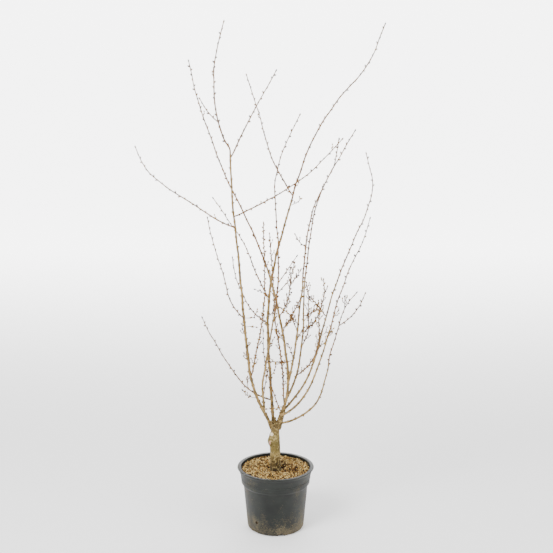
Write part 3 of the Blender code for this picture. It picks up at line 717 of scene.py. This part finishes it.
def tubes(name, lines, sides, materials):
    """One mesh of round limbs: each line comes with its radii and its material's number."""
    curve = having(
        bpy.data.curves.new(name, "CURVE"), dimensions="3D", twist_mode="MINIMUM", bevel_depth=1,
        bevel_resolution=(sides - 4) // 2, use_fill_caps=True)
    for line, radii, tone in lines:
        spline = curve.splines.new("POLY")
        spline.points.add(len(line) - 1)
        having(spline, material_index=tone, use_smooth=True)
        for knot, point, radius in zip(spline.points, line, radii):
            knot.co = (*point, 1)
            knot.radius = radius
    pick(new_object(name, curve, materials))
    bpy.ops.object.convert(target="MESH")
    bpy.ops.object.mode_set(mode="EDIT")
    bpy.ops.mesh.select_all(action="SELECT")
    bpy.ops.mesh.remove_doubles(threshold=0.001 * MM)
    bpy.ops.object.mode_set(mode="OBJECT")
    return bpy.context.object


def joined_copies(name, patterns, copies, materials):
    """One mesh of many small copies. Each copy is (pattern number, 4x4 matrix, material number)."""
    points, faces, tones = [], [], []
    count = 0
    for which, matrix, tone in copies:
        corners, sides = patterns[which]
        points.append(corners @ np.array(matrix)[:3, :3].T + np.array(matrix)[:3, 3])
        faces += [tuple(corner + count for corner in side) for side in sides]
        tones += [tone] * len(sides)
        count += len(corners)
    mesh = bpy.data.meshes.new(name)
    mesh.from_pydata(np.concatenate(points).tolist(), [], faces)
    mesh.polygons.foreach_set("material_index", tones)
    return new_object(name, mesh, materials)


def pattern_from(thing):
    """The corners and faces of a small modelled shape, which is then removed."""
    mesh = thing.data
    corners = np.array([vertex.co for vertex in mesh.vertices])
    sides = [tuple(face.vertices) for face in mesh.polygons]
    bpy.data.objects.remove(thing, do_unlink=True)
    return corners, sides


def roughen(thing, name, size, strength):
    """Raises and lowers the surface by a cloud pattern of this size."""
    clouds = having(bpy.data.textures.new(name, "CLOUDS"), noise_scale=size, noise_depth=2)
    having(thing.modifiers.new(name, "DISPLACE"), texture=clouds, texture_coords="LOCAL",
           strength=strength, mid_level=0.5)


def ball(name, place, size, turn):
    """A long round lump, turned about the line of sight from the front."""
    bpy.ops.mesh.primitive_uv_sphere_add(segments=24, ring_count=12, radius=1)
    thing = bpy.context.object
    thing.name = name
    thing.matrix_world = (
        Matrix.Translation(place) @ Matrix.Rotation(math.radians(turn), 4, "Y")
        @ Matrix.Diagonal((*size, 1)))
    place_in_mesh(thing)
    return thing


# Materials


def linear(code):
    """A hex sRGB colour as linear numbers."""
    parts = [int(code[k:k + 2], 16) / 255 for k in (1, 3, 5)]
    return tuple(c / 12.92 if c <= 0.04045 else ((c + 0.055) / 1.055) ** 2.4 for c in parts) + (1.0,)


def grey(share):
    """How strongly a layer shows, as a colour."""
    return (share, share, share, 1.0)


def per_mm(size):
    """The scale of a pattern whose features are this many millimetres."""
    return 1000 / size


def add_node(material, kind, settings, links):
    """A node with its settings and what is linked into it: a node's first output, or one named.
    The stops are those of a colour ramp."""
    node = material.node_tree.nodes.new("ShaderNode" + kind)
    for name, value in settings.items():
        if name == "stops":
            stops = node.color_ramp.elements
            while len(stops) < len(value):
                stops.new(1.0)
            for stop, (place, colour) in zip(stops, value):
                stop.position = place
                stop.color = linear(colour) if isinstance(colour, str) else colour
        elif isinstance(name, int) or name in node.inputs:
            node.inputs[name].default_value = value
        else:
            setattr(node, name, value)
    link(material, node, links)
    return node


def link(material, node, links):
    for name, source in links.items():
        start, output = source if isinstance(source, tuple) else (source, 0)
        material.node_tree.links.new(start.outputs[output], node.inputs[name])


def new_finish(name, roughness, specular):
    """An empty finish, what adds its nodes, and its place on the piece."""
    material = bpy.data.materials.new(name)
    material.use_nodes = True
    shader = material.node_tree.nodes["Principled BSDF"]
    shader.inputs["Roughness"].default_value = roughness
    shader.inputs["Specular IOR Level"].default_value = specular
    add = partial(add_node, material)
    return material, add, (add("TexCoord", {}, {}), "Object")


def finished(material, links):
    link(material, material.node_tree.nodes["Principled BSDF"], links)
    return material


def smooth_cherry_bark(name, dark, middle, light, roughness, tint=(1.0, 1.0, 1.0)):
    """Young cherry bark: thin, smooth and slightly glossy skin, with a grey film that flakes in
    patches and pale pores about 3 mm wide and 1 mm high that lie across the twig. The tint is the
    darker, redder tone of younger wood."""
    dark, middle, light, pore = (
        tuple(part * share for part, share in zip(linear(code), tint)) + (1.0,)
        for code in (dark, middle, light, PORE))
    material, add, where = new_finish(name, roughness, 0.4)
    film = add("TexNoise", {"Scale": per_mm(22), "Detail": 4.0}, {"Vector": where})
    skin = add("ValToRGB", {"stops": [(0.30, dark), (0.50, middle), (0.72, light)]}, {"Fac": film})
    flat = add("Mapping", {"Scale": (1.0, 1.0, 3.0)}, {"Vector": where})
    pores = add("TexNoise", {"Scale": per_mm(3.2), "Detail": 2.0}, {"Vector": flat})
    spots = add("ValToRGB", {"stops": [(0.60, grey(0)), (0.70, grey(0.40))]}, {"Fac": pores})
    mixed = add("MixRGB", {"Color2": pore}, {"Fac": spots, "Color1": skin})
    bump = add("Bump", {"Strength": 0.35, "Distance": 0.4 * MM}, {"Height": pores})
    return finished(material, {"Base Color": mixed, "Normal": bump})


def trunk_bark():
    """Older bark on the graft: dull brown where it meets the mix, a pale callus ring above it,
    olive grey algae over beige bark up to the fork, and a fine fissured relief."""
    material, add, where = new_finish("fissured_trunk_bark", 0.82, 0.25)
    split = add("SeparateXYZ", {}, {"Vector": where})
    waver = add("TexNoise", {"Scale": per_mm(14), "Detail": 5.0}, {"Vector": where})
    shift = add("Math", {"operation": "MULTIPLY_ADD", 1: 30 * MM, 2: -15 * MM}, {0: waver})
    height = add("Math", {"operation": "ADD"}, {0: (split, "Z"), 1: shift})
    share = add("MapRange", {"From Min": GROUND, "From Max": TRUNK_SECTIONS[-1][0]}, {"Value": height})
    zones = add("ValToRGB", {"stops": [
        (0.00, "#2C200C"), (0.28, "#55431E"), (0.38, "#8E7A48"), (0.44, "#6E5E30"),
        (0.62, "#5F5228"), (0.76, "#7A6A3E"), (0.88, "#665430"), (1.00, "#574524")]}, {"Fac": share})
    patches = add("TexNoise", {"Scale": per_mm(7), "Detail": 6.0}, {"Vector": where})
    pale = add("ValToRGB", {"stops": [(0.52, grey(0)), (0.66, grey(0.75))]}, {"Fac": patches})
    worn = add("MixRGB", {"Color2": linear("#A39060")}, {"Fac": pale, "Color1": zones})
    flat = add("Mapping", {"Scale": (1.0, 1.0, 0.45)}, {"Vector": where})
    cracks = add("TexNoise", {"Scale": per_mm(3.5), "Detail": 6.0}, {"Vector": flat})
    deep = add("ValToRGB", {"stops": [(0.34, grey(0.85)), (0.47, grey(0))]}, {"Fac": cracks})
    bark = add("MixRGB", {"Color2": linear("#231807")}, {"Fac": deep, "Color1": worn})
    bump = add("Bump", {"Strength": 0.8, "Distance": 1.0 * MM}, {"Height": cracks})
    return finished(material, {"Base Color": bark, "Normal": bump})


def scar_wood(name, rim, heart):
    """Bare or healed wood where a shoot was cut: smooth, dry and paler than the bark. Its grain is
    drawn coarser than the real one, so that it shows."""
    material, add, where = new_finish(name, 0.7, 0.3)
    grain = add("TexNoise", {"Scale": per_mm(2.5), "Detail": 3.0}, {"Vector": where})
    wood = add("ValToRGB", {"stops": [(0.35, rim), (0.6, heart)]}, {"Fac": grain})
    return finished(material, {"Base Color": wood})


def bud_scales(name, dark, light):
    """Winter bud scales: dry, closely overlapping and a little glossy, darker at their edges."""
    material, add, where = new_finish(name, 0.55, 0.4)
    scales = add("TexNoise", {"Scale": per_mm(1.8), "Detail": 2.0}, {"Vector": where})
    husk = add("ValToRGB", {"stops": [(0.40, dark), (0.62, light)]}, {"Fac": scales})
    bump = add("Bump", {"Strength": 0.5, "Distance": 0.4 * MM}, {"Height": scales})
    return finished(material, {"Base Color": husk, "Normal": bump})


def moulded_polypropylene():
    """Injection-moulded black polypropylene: satin and faintly mottled. Mud has dried on it in
    patches and fine specks, thickest low down and towards both sides. The mould's grain is drawn
    coarser than the real one, so that it shows."""
    material, add, where = new_finish("moulded_black_polypropylene", 0.5, 0.28)
    split = add("SeparateXYZ", {}, {"Vector": where})
    haze = add("TexNoise", {"Scale": per_mm(45), "Detail": 5.0}, {"Vector": where})
    black = add("ValToRGB", {"stops": [(0.3, "#0B0D0B"), (0.7, "#171B17")]}, {"Fac": haze})
    low = add("MapRange", {"From Min": 100 * MM, "From Max": 8 * MM, "To Min": -0.04, "To Max": 0.16},
              {"Value": (split, "Z")})
    cloud = add("TexNoise", {"Scale": per_mm(34), "Detail": 3.0}, {"Vector": where})
    aside = add("Math", {"operation": "ABSOLUTE"}, {0: (split, "X")})
    flank = add("MapRange", {"From Min": 20 * MM, "From Max": 90 * MM, "To Min": -0.05, "To Max": 0.06},
                {"Value": aside})
    spread = add("Math", {"operation": "ADD"}, {0: low, 1: flank})
    patchy = add("Math", {"operation": "MULTIPLY_ADD", 1: 0.45}, {0: cloud, 2: spread})
    splash = add("TexNoise", {"Scale": per_mm(3.4), "Detail": 6.0}, {"Vector": where})
    dust = add("Math", {"operation": "MULTIPLY_ADD", 1: 0.6}, {0: splash, 2: patchy})
    mud = add("ValToRGB", {"stops": [(0.54, grey(0)), (0.62, grey(0.16)), (0.76, grey(0.65))]},
              {"Fac": dust})
    colour = add("MixRGB", {"Color2": linear("#6B6048")}, {"Fac": mud, "Color1": black})
    rough = add("MapRange", {"To Min": 0.50, "To Max": 0.9}, {"Value": mud})
    grain = add("TexNoise", {"Scale": per_mm(1.5), "Detail": 3.0}, {"Vector": where})
    bump = add("Bump", {"Strength": 0.12, "Distance": 0.3 * MM}, {"Height": grain})
    return finished(material, {"Base Color": colour, "Roughness": rough, "Normal": bump})


def painted_shade_polypropylene():
    """The same plastic under the foot and in the notches, drawn blacker than the rest of the pot and without
    its mud, as painted shade in these recesses; faintly mottled."""
    material, add, where = new_finish("clean_black_polypropylene", 0.6, 0.1)
    haze = add("TexNoise", {"Scale": per_mm(8)}, {"Vector": where})
    black = add("ValToRGB", {"stops": [(0.3, "#050505"), (0.7, "#0C0D0C")]}, {"Fac": haze})
    return finished(material, {"Base Color": black})


def bark_chip(name, dark, light):
    """Composted pine bark: dry matt crumbs, each of one tone. The mottling stands for fibres that
    are too fine to show."""
    material, add, where = new_finish(name, 0.93, 0.15)
    fibre = add("TexNoise", {"Scale": per_mm(2.2), "Detail": 4.0}, {"Vector": where})
    crumb = add("ValToRGB", {"stops": [(0.35, dark), (0.65, light)]}, {"Fac": fibre})
    bump = add("Bump", {"Strength": 0.6, "Distance": 0.6 * MM}, {"Height": fibre})
    return finished(material, {"Base Color": crumb, "Normal": bump})


def pale_floor():
    """A plain matt studio sweep that glows where it rises, far behind the plant."""
    material, add, where = new_finish("studio_floor", 0.9, 0.1)
    shader = material.node_tree.nodes["Principled BSDF"]
    shader.inputs["Base Color"].default_value = linear("#FFFFFF")
    shader.inputs["Emission Color"].default_value = linear("#FFFFFF")
    split = add("SeparateXYZ", {}, {"Vector": where})
    glow = add("MapRange", {"From Min": 0.6, "From Max": 5.5, "To Min": 0.0, "To Max": 4.0,
                            "interpolation_type": "SMOOTHSTEP"}, {"Value": (split, "Y")})
    return finished(material, {"Emission Strength": glow})


# Trunk

VOXEL = 0.9 * MM
TRUNK_STEP = 2 * MM  # between the rings of the trunk and of its stubs
LOW_FORK = 0.46  # a limb that springs lower is fused into the trunk's skin at its foot
CROTCH_REACH = 0.055  # how much of such a limb
LEADER_REACH = 0.115  # how much of a leader
ROOT_SWELL = 1.03  # it covers the limb that it belongs to
STUB_SWELL = 1.15
# Its relief: size and height of the lumps and of the fissures
TRUNK_RELIEF = {"trunk_lumps": mm(11, 2.2), "trunk_fissures": mm(3, 0.7)}
# Where shoots were cut from the graft: place, size, turn, and the wood with its rim and heart
SCARS = {
    "cut_scar": ((-0.0125, -0.0125, 0.3330), mm(6.2, 4.5, 6.8), -20,
                 ("dry_cut_wood", "#B8A076", "#E6DBBE")),
    "healed_scar": ((-0.0185, -0.0150, 0.3060), mm(3.2, 4.5, 9.5), 8,
                    ("healed_callus", "#9C6E58", "#C49A86")),
}


def make_trunk(whips):
    """The trunk, its burl, the pruned stubs and the first stretch of the low limbs as one skin."""
    heights = np.array([(across, 0.0, height) for height, across, _ in TRUNK_SECTIONS])
    line = smooth_line(heights, TRUNK_STEP)
    radii = np.interp(line[:, 2], heights[:, 2], [radius for _, _, radius in TRUNK_SECTIONS])
    lines = [(line, radii, 0)]
    for foot, tip, radius in STUBS:
        stub = smooth_line([foot, tip], TRUNK_STEP)
        lines.append((stub, np.linspace(radius * STUB_SWELL, radius, len(stub)), 0))
    for whip in whips:
        if whip.line[0][2] < LOW_FORK and whip.name in LIMBS:
            reach = LEADER_REACH if whip.name in COLLARS else CROTCH_REACH
            count = int(np.searchsorted(whip.along, reach))
            lines.append((whip.line[:count], whip.radii[:count] * ROOT_SWELL, 0))
    skin = tubes("trunk_skin", lines, 16, [])
    pick(skin, ball("burl", **BURL), ball("shoulder", **SHOULDER))
    bpy.ops.object.join()
    having(skin.modifiers.new("Melt", "REMESH"), mode="VOXEL", voxel_size=VOXEL)
    having(skin.modifiers.new("Ease", "SMOOTH"), factor=0.5, iterations=5)
    for name, (size, height) in TRUNK_RELIEF.items():
        roughen(skin, name, size, height)
    apply_modifiers(skin)
    dress(skin, trunk_bark())
    bpy.ops.object.shade_smooth()
    return skin


def make_scar(name):
    place, size, turn, wood = SCARS[name]
    scar = ball(name, place, size, turn)
    roughen(scar, name + "_relief", 3 * MM, 0.8 * MM)
    apply_modifiers(scar)
    dress(scar, scar_wood(*wood))
    bpy.ops.object.shade_smooth()
    return scar


# Limbs and buds

BUD_TONES = (
    ("dark_bud_scales", "#24150A", "#452B15"),
    ("brown_bud_scales", "#573A16", "#845E2B"),
    ("golden_bud_scales", "#7C5E26", "#B59248"),
)


def make_buds(buds):
    """Pointed buds, each a copy of one that is one long, one in radius and stands on its end."""
    bpy.ops.mesh.primitive_uv_sphere_add(segments=6, ring_count=5, radius=1)
    bud = bpy.context.object
    for vertex in bud.data.vertices:
        share = (vertex.co.z + 1) / 2
        slim = BUD_WIDTH[0] - BUD_WIDTH[1] * share**2
        vertex.co.x *= slim
        vertex.co.y *= slim
        vertex.co.z = share
    copies = []
    for foot, heading, (length, radius), size, tone in buds:
        turn = UP.rotation_difference(Vector(heading)).to_matrix().to_4x4()
        shape = Matrix.Diagonal((radius * size, radius * size, length * size, 1))
        kind = sum(tone >= limit for limit in TONE_LIMITS)
        copies.append((0, Matrix.Translation(foot) @ turn @ shape, kind))
    scales = [bud_scales(*row) for row in BUD_TONES]
    thing = joined_copies("winter_buds", [pattern_from(bud)], copies, scales)
    pick(thing)
    bpy.ops.object.shade_smooth()
    return thing


def split_of(whip):
    """Where the bough ends on this whip's line, and its twigs begin."""
    limb = LIMBS.get(whip.name)
    if limb and limb.parted:
        return int(np.abs(whip.line[:, 2] - limb.parted).argmin())
    return len(whip.line) if limb and limb.is_bough else 0


def ride_with(piece, slot, *nodes):
    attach(piece, "root")
    if nodes:
        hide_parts(*nodes)


def nodes_called(start):
    return [name for name in frame["nodes"] if name.startswith(start)]


def make_plant():
    courses = grow_courses()
    whips = [whip_of(course) for course in courses.values()]
    whips += [sprig_of(name, courses) for name in SPRIGS]
    thicket = Thicket(whips)
    boughs, masses = [], []
    for whip, radii in zip(whips, thicket.swollen):
        split = split_of(whip)
        if split:
            boughs.append((whip.line[:split + 1], radii[:split + 1], whip.tone))
        if split < len(whip.line):
            masses.append((whip.line[split:], radii[split:], whip.tone))
    barks = [smooth_cherry_bark(name + "_cherry_bark", *row) for name, row in BARKS.items()]
    young = [smooth_cherry_bark(f"young_{name}_cherry_bark", *row, YOUNG_TINT)
             for name, row in BARKS.items()]
    bough_wood = tubes("bough_wood", boughs, 12, barks)
    roughen(bough_wood, "bough_relief", 4 * MM, 0.5 * MM)
    apply_modifiers(bough_wood)
    ride_with(bough_wood, "bough_bark", *nodes_called("bough_"))
    ride_with(tubes("twig_wood", masses, 8, young), "twig_bark", *nodes_called("twigs_"))
    ride_with(tubes("spur_twigs", thicket.twigs, 6, young), "twig_bark")
    ride_with(make_buds(thicket.buds), "twig_bark")
    ride_with(make_trunk(whips), "trunk_bark", "trunk")
    for name in SCARS:
        ride_with(make_scar(name), "trunk_bark")


# Pot

POT_SEGMENTS = 144
HOLE_SEGMENTS = 20
CORNER_STEP = 15  # degrees between the points of the pot's rounded foot
NOTCH_REACH = BODY_FOOT_RADIUS + 0.2 * FOOT_BEVEL
NOTCH_ROUNDING = 2.2 * MM
RIDGE_HEIGHT = 0.1782  # of the fine ridge round the collar
# The ridge's outline: how far it stands out from the collar's foot, and its height
RIDGE = (mm(1.6, 1.3), mm(2.2, 0.6), mm(2.2, -0.6), mm(1.4, -1.3))


def outer_outline():
    """The pot's outside, from its lip to the middle of its underside."""
    under_rim = POT_HEIGHT - RIM_THICKNESS
    corner = [math.radians(angle) for angle in range(CORNER_STEP, 91, CORNER_STEP)]
    return [
        (RIM_RADIUS - 1.6 * MM, POT_HEIGHT),
        (RIM_RADIUS - 0.4 * MM, POT_HEIGHT - 0.6 * MM),
        (RIM_RADIUS, POT_HEIGHT - 1.8 * MM),
        (RIM_RADIUS - 1.4 * MM, POT_HEIGHT - 4 * MM),
        (RIM_RADIUS - 4.0 * MM, under_rim),
        (COLLAR_TOP_RADIUS + 3.4 * MM, under_rim - 5 * MM),
        (COLLAR_TOP_RADIUS + 1.6 * MM, under_rim - 11 * MM),
        (COLLAR_TOP_RADIUS - 0.4 * MM, under_rim - 18 * MM),
        *((COLLAR_FOOT_RADIUS + out, RIDGE_HEIGHT + up) for out, up in RIDGE),
        (COLLAR_FOOT_RADIUS, COLLAR_FOOT + 1.5 * MM),
        (COLLAR_FOOT_RADIUS - 1.0 * MM, COLLAR_FOOT),
        (BODY_TOP_RADIUS + 1.2 * MM, COLLAR_FOOT - STEP_FALL + 1.5 * MM),
        (BODY_TOP_RADIUS, COLLAR_FOOT - STEP_FALL - 1.5 * MM),
        (BODY_FOOT_RADIUS, FOOT_BEVEL),
        *((BODY_FOOT_RADIUS - FOOT_BEVEL * (1 - math.cos(swing)), FOOT_BEVEL * (1 - math.sin(swing)))
          for swing in corner),
        (0, 0),
    ]


def turned_piece(name, profile):
    """A finely turned shape, applied, from an outline whose outer side runs downwards."""
    mesh = bpy.data.meshes.new(name)
    edges = [(k, k + 1) for k in range(len(profile) - 1)]
    mesh.from_pydata([(radius, 0, height) for radius, height in profile], edges, [])
    body = new_object(name, mesh)
    having(body.modifiers.new("Turn", "SCREW"), steps=POT_SEGMENTS, render_steps=POT_SEGMENTS,
           use_merge_vertices=True, merge_threshold=1e-5)
    apply_modifiers(body)
    return body


def notch_cutter(bearing):
    """A drain notch in the pot's foot."""
    bpy.ops.mesh.primitive_cube_add(size=1, rotation=(0, 0, bearing))
    notch = bpy.context.object
    notch.scale = (NOTCH_DEPTH, NOTCH_WIDTH, 2 * NOTCH_HEIGHT)
    notch.location = (NOTCH_REACH * math.cos(bearing), NOTCH_REACH * math.sin(bearing), 0)
    place_in_mesh(notch)
    having(notch.modifiers.new("Rounding", "BEVEL"), width=NOTCH_ROUNDING, segments=3)
    apply_modifiers(notch)
    return notch


def hole_cutter(bearing):
    """A round hole through the pot's side."""
    reach = inner_radius(SIDE_HOLE_HEIGHT)
    bpy.ops.mesh.primitive_cylinder_add(
        vertices=HOLE_SEGMENTS, radius=SIDE_HOLE_RADIUS, depth=8 * POT_WALL,
        location=(reach * math.cos(bearing), reach * math.sin(bearing), SIDE_HOLE_HEIGHT),
        rotation=(0, math.pi / 2, bearing))
    place_in_mesh(bpy.context.object)
    return bpy.context.object


def bearings(first, count):
    return [math.radians(first + k * 360 / count) for k in range(count)]


def make_pot():
    """The moulded pot: lip, collar with a fine ridge, body, rounded foot and drain notches."""
    pot = turned_piece("pot_moulding", inner_outline() + outer_outline())
    cutters = [notch_cutter(bearing) for bearing in bearings(NOTCH_BEARING, NOTCHES)]
    cutters += [hole_cutter(bearing) for bearing in bearings(SIDE_HOLE_BEARING, SIDE_HOLES)]
    for cutter in cutters:
        having(pot.modifiers.new("Cut", "BOOLEAN"), operation="DIFFERENCE", object=cutter, solver="EXACT")
    apply_modifiers(pot)
    for cutter in cutters:
        bpy.data.objects.remove(cutter, do_unlink=True)
    dress(pot, moulded_polypropylene(), painted_shade_polypropylene())
    # The faces under the foot and in the notches take the second finish: painted shade in these recesses.
    for face in pot.data.polygons:
        if face.center.z < NOTCH_HEIGHT + MM and face.center.xy.length < BODY_FOOT_RADIUS - FOOT_BEVEL:
            face.material_index = 1
    pick(pot)
    bpy.ops.object.shade_smooth_by_angle(angle=math.radians(35))
    return pot


# Bark mix

CHIPS = 3800
CHIP_SIZES = (4.5 * MM, 9 * MM)
CHIP_WIDTHS = (0.45, 0.8)  # for its length
CHIP_THICKNESSES = (0.25, 0.5)
CHIP_LUMPS = (0.72, 1.22)  # how far its corners stand out
CHIP_LIFT = (-0.5, 2.2)  # millimetres over the surface
CHIP_PATTERNS = 5
CHIP_CLEAR = 19 * MM  # no chips nearer to the middle, where the trunk stands
CHIP_MARGIN = 3 * MM  # and none nearer to the pot
SMALLER_CHIPS = (0.4, 0.8)  # their share, and their size beside the others
CHIP_TILT = 0.45
CHIP_TONES = (
    ("pale_bark_chip", "#A38952", "#D2B77E"),
    ("golden_bark_chip", "#7A5E2C", "#AC884A"),
    ("brown_bark_chip", "#442E14", "#6E4E28"),
    ("dark_bark_chip", "#1A1107", "#33210F"),
)
# How common each tone is, and how common in the painted shadow of the trunk, a patch of darker chips right
# of the trunk that reaches so far from left to right and from front to back
CHIP_SHARES = (36, 28, 20, 16)
SHADOW_SHARES = (12, 22, 34, 32)
SHADOW_ACROSS = (0.018, 0.075)
SHADOW_DEEP = (-0.045, 0.03)


def soil_height(radius):
    """Height of the mix's surface at this distance from the middle."""
    radii = (0, SEAT_RADIUS, SEAT_RADIUS + SEAT_SLOPE, CROWN_RADIUS, SHOULDER_RADIUS, SOIL_EDGE)
    heights = (SOIL_SEAT, SOIL_SEAT, SOIL_CROWN - 2 * MM, SOIL_CROWN, SOIL_RIM + MM, SOIL_RIM)
    return float(np.interp(radius, radii, heights))


def chip_pattern(chance):
    bpy.ops.mesh.primitive_ico_sphere_add(subdivisions=1, radius=0.5)
    crumb = bpy.context.object
    for vertex in crumb.data.vertices:
        vertex.co *= chance.uniform(*CHIP_LUMPS)
    return pattern_from(crumb)


def make_chips():
    """Bark crumbs of several shapes and tones over the whole surface of the mix."""
    chance = random.Random("bark mix")
    patterns = [chip_pattern(chance) for _ in range(CHIP_PATTERNS)]
    copies = []
    edge = inner_radius(SOIL_RIM) - CHIP_MARGIN
    for k in range(CHIPS):
        radius = edge * math.sqrt(chance.random())
        bearing = chance.uniform(0, 2 * math.pi)
        if radius < CHIP_CLEAR:
            continue
        smaller_share, smaller_size = SMALLER_CHIPS
        size = chance.uniform(*CHIP_SIZES) * (smaller_size if chance.random() < smaller_share else 1)
        place = Vector((radius * math.cos(bearing), radius * math.sin(bearing),
                        soil_height(radius) + chance.uniform(*CHIP_LIFT) * MM))
        turn = (
            Matrix.Rotation(chance.uniform(0, FULL_TURN), 4, "Z")
            @ Matrix.Rotation(chance.gauss(0, CHIP_TILT), 4, "X")
            @ Matrix.Rotation(chance.gauss(0, CHIP_TILT), 4, "Y"))
        shape = Matrix.Diagonal((
            size, size * chance.uniform(*CHIP_WIDTHS), size * chance.uniform(*CHIP_THICKNESSES), 1))
        # Right of the trunk the darker tones are dealt more often: painted shadow of the trunk.
        in_shadow = SHADOW_ACROSS[0] < place.x < SHADOW_ACROSS[1] and SHADOW_DEEP[0] < place.y < SHADOW_DEEP[1]
        shares = SHADOW_SHARES if in_shadow else CHIP_SHARES
        tone = chance.choices(range(len(CHIP_TONES)), weights=shares)[0]
        copies.append((k % CHIP_PATTERNS, Matrix.Translation(place) @ turn @ shape, tone))
    return joined_copies("bark_chips", patterns, copies, [bark_chip(*row) for row in CHIP_TONES])


def make_container():
    ride_with(make_pot(), "pot_plastic", "pot")
    ride_with(make_chips(), "bark_mix")
    # The mix under the chips is drawn much darker than the chips: partly the fine bark there, partly painted
    # shade in the gaps between chips.
    dress(frame["nodes"]["soil"], bark_chip("fine_bark_dust", "#1C1208", "#3E2A14"))


# Camera, floor and light

CAMERA_PLACE = (0.003, -3.52, 1.642)
CAMERA_PITCH = 12.3  # degrees below level
FOCAL_LENGTH = 71.61  # on a 36 mm frame
SWEEP_SIZE = 40
SWEEP_MIDDLE = -9
SWEEP_START = 5  # where the sweep leaves the floor
SWEEP_RADIUS = 3
# Lights: place, width and power
LIGHTS = {
    "key": ((-2.2, -2.6, 3.4), 1.8, 250),
    "fill": ((2.8, -2.0, 2.2), 2.4, 70),
    "back": ((0.6, 3.0, 3.2), 2.4, 60),
}
LIGHTS_AIM = Vector((0, 0, 0.8))
WORLD_STRENGTH = 1.1


def make_camera():
    camera = having(bpy.data.cameras.new("camera"), sensor_width=36, lens=FOCAL_LENGTH)
    turn = (math.radians(90 - CAMERA_PITCH), 0, 0)
    bpy.context.scene.camera = having(
        new_object("camera", camera), location=CAMERA_PLACE, rotation_euler=turn)


def make_floor():
    """A floor that curves up into a wall far behind the plant."""
    bpy.ops.mesh.primitive_grid_add(
        x_subdivisions=2, y_subdivisions=240, size=SWEEP_SIZE, location=(0, SWEEP_MIDDLE, 0))
    floor = bpy.context.object
    floor.name = "studio_floor"
    place_in_mesh(floor)
    for vertex in floor.data.vertices:
        past = max(vertex.co.y - SWEEP_START, 0)
        swing = min(past / SWEEP_RADIUS, math.pi / 2)
        if past:
            vertex.co.y = SWEEP_START + SWEEP_RADIUS * math.sin(swing)
            vertex.co.z = SWEEP_RADIUS * (1 - math.cos(swing)) + past - SWEEP_RADIUS * swing
    floor.data.shade_smooth()
    dress(floor, pale_floor())


def make_lights():
    for name, (place, width, power) in LIGHTS.items():
        lamp = having(bpy.data.lights.new(name, "AREA"), size=width, energy=power)
        turn = (LIGHTS_AIM - Vector(place)).to_track_quat("-Z", "Y").to_euler()
        having(new_object(name, lamp), location=place, rotation_euler=turn)
    world = bpy.data.worlds.new("pale_studio")
    world.use_nodes = True
    background = world.node_tree.nodes["Background"]
    background.inputs["Color"].default_value = linear("#FFFFFF")
    background.inputs["Strength"].default_value = WORLD_STRENGTH
    bpy.context.scene.world = world


make_camera()
make_floor()
make_lights()
make_container()
make_plant()
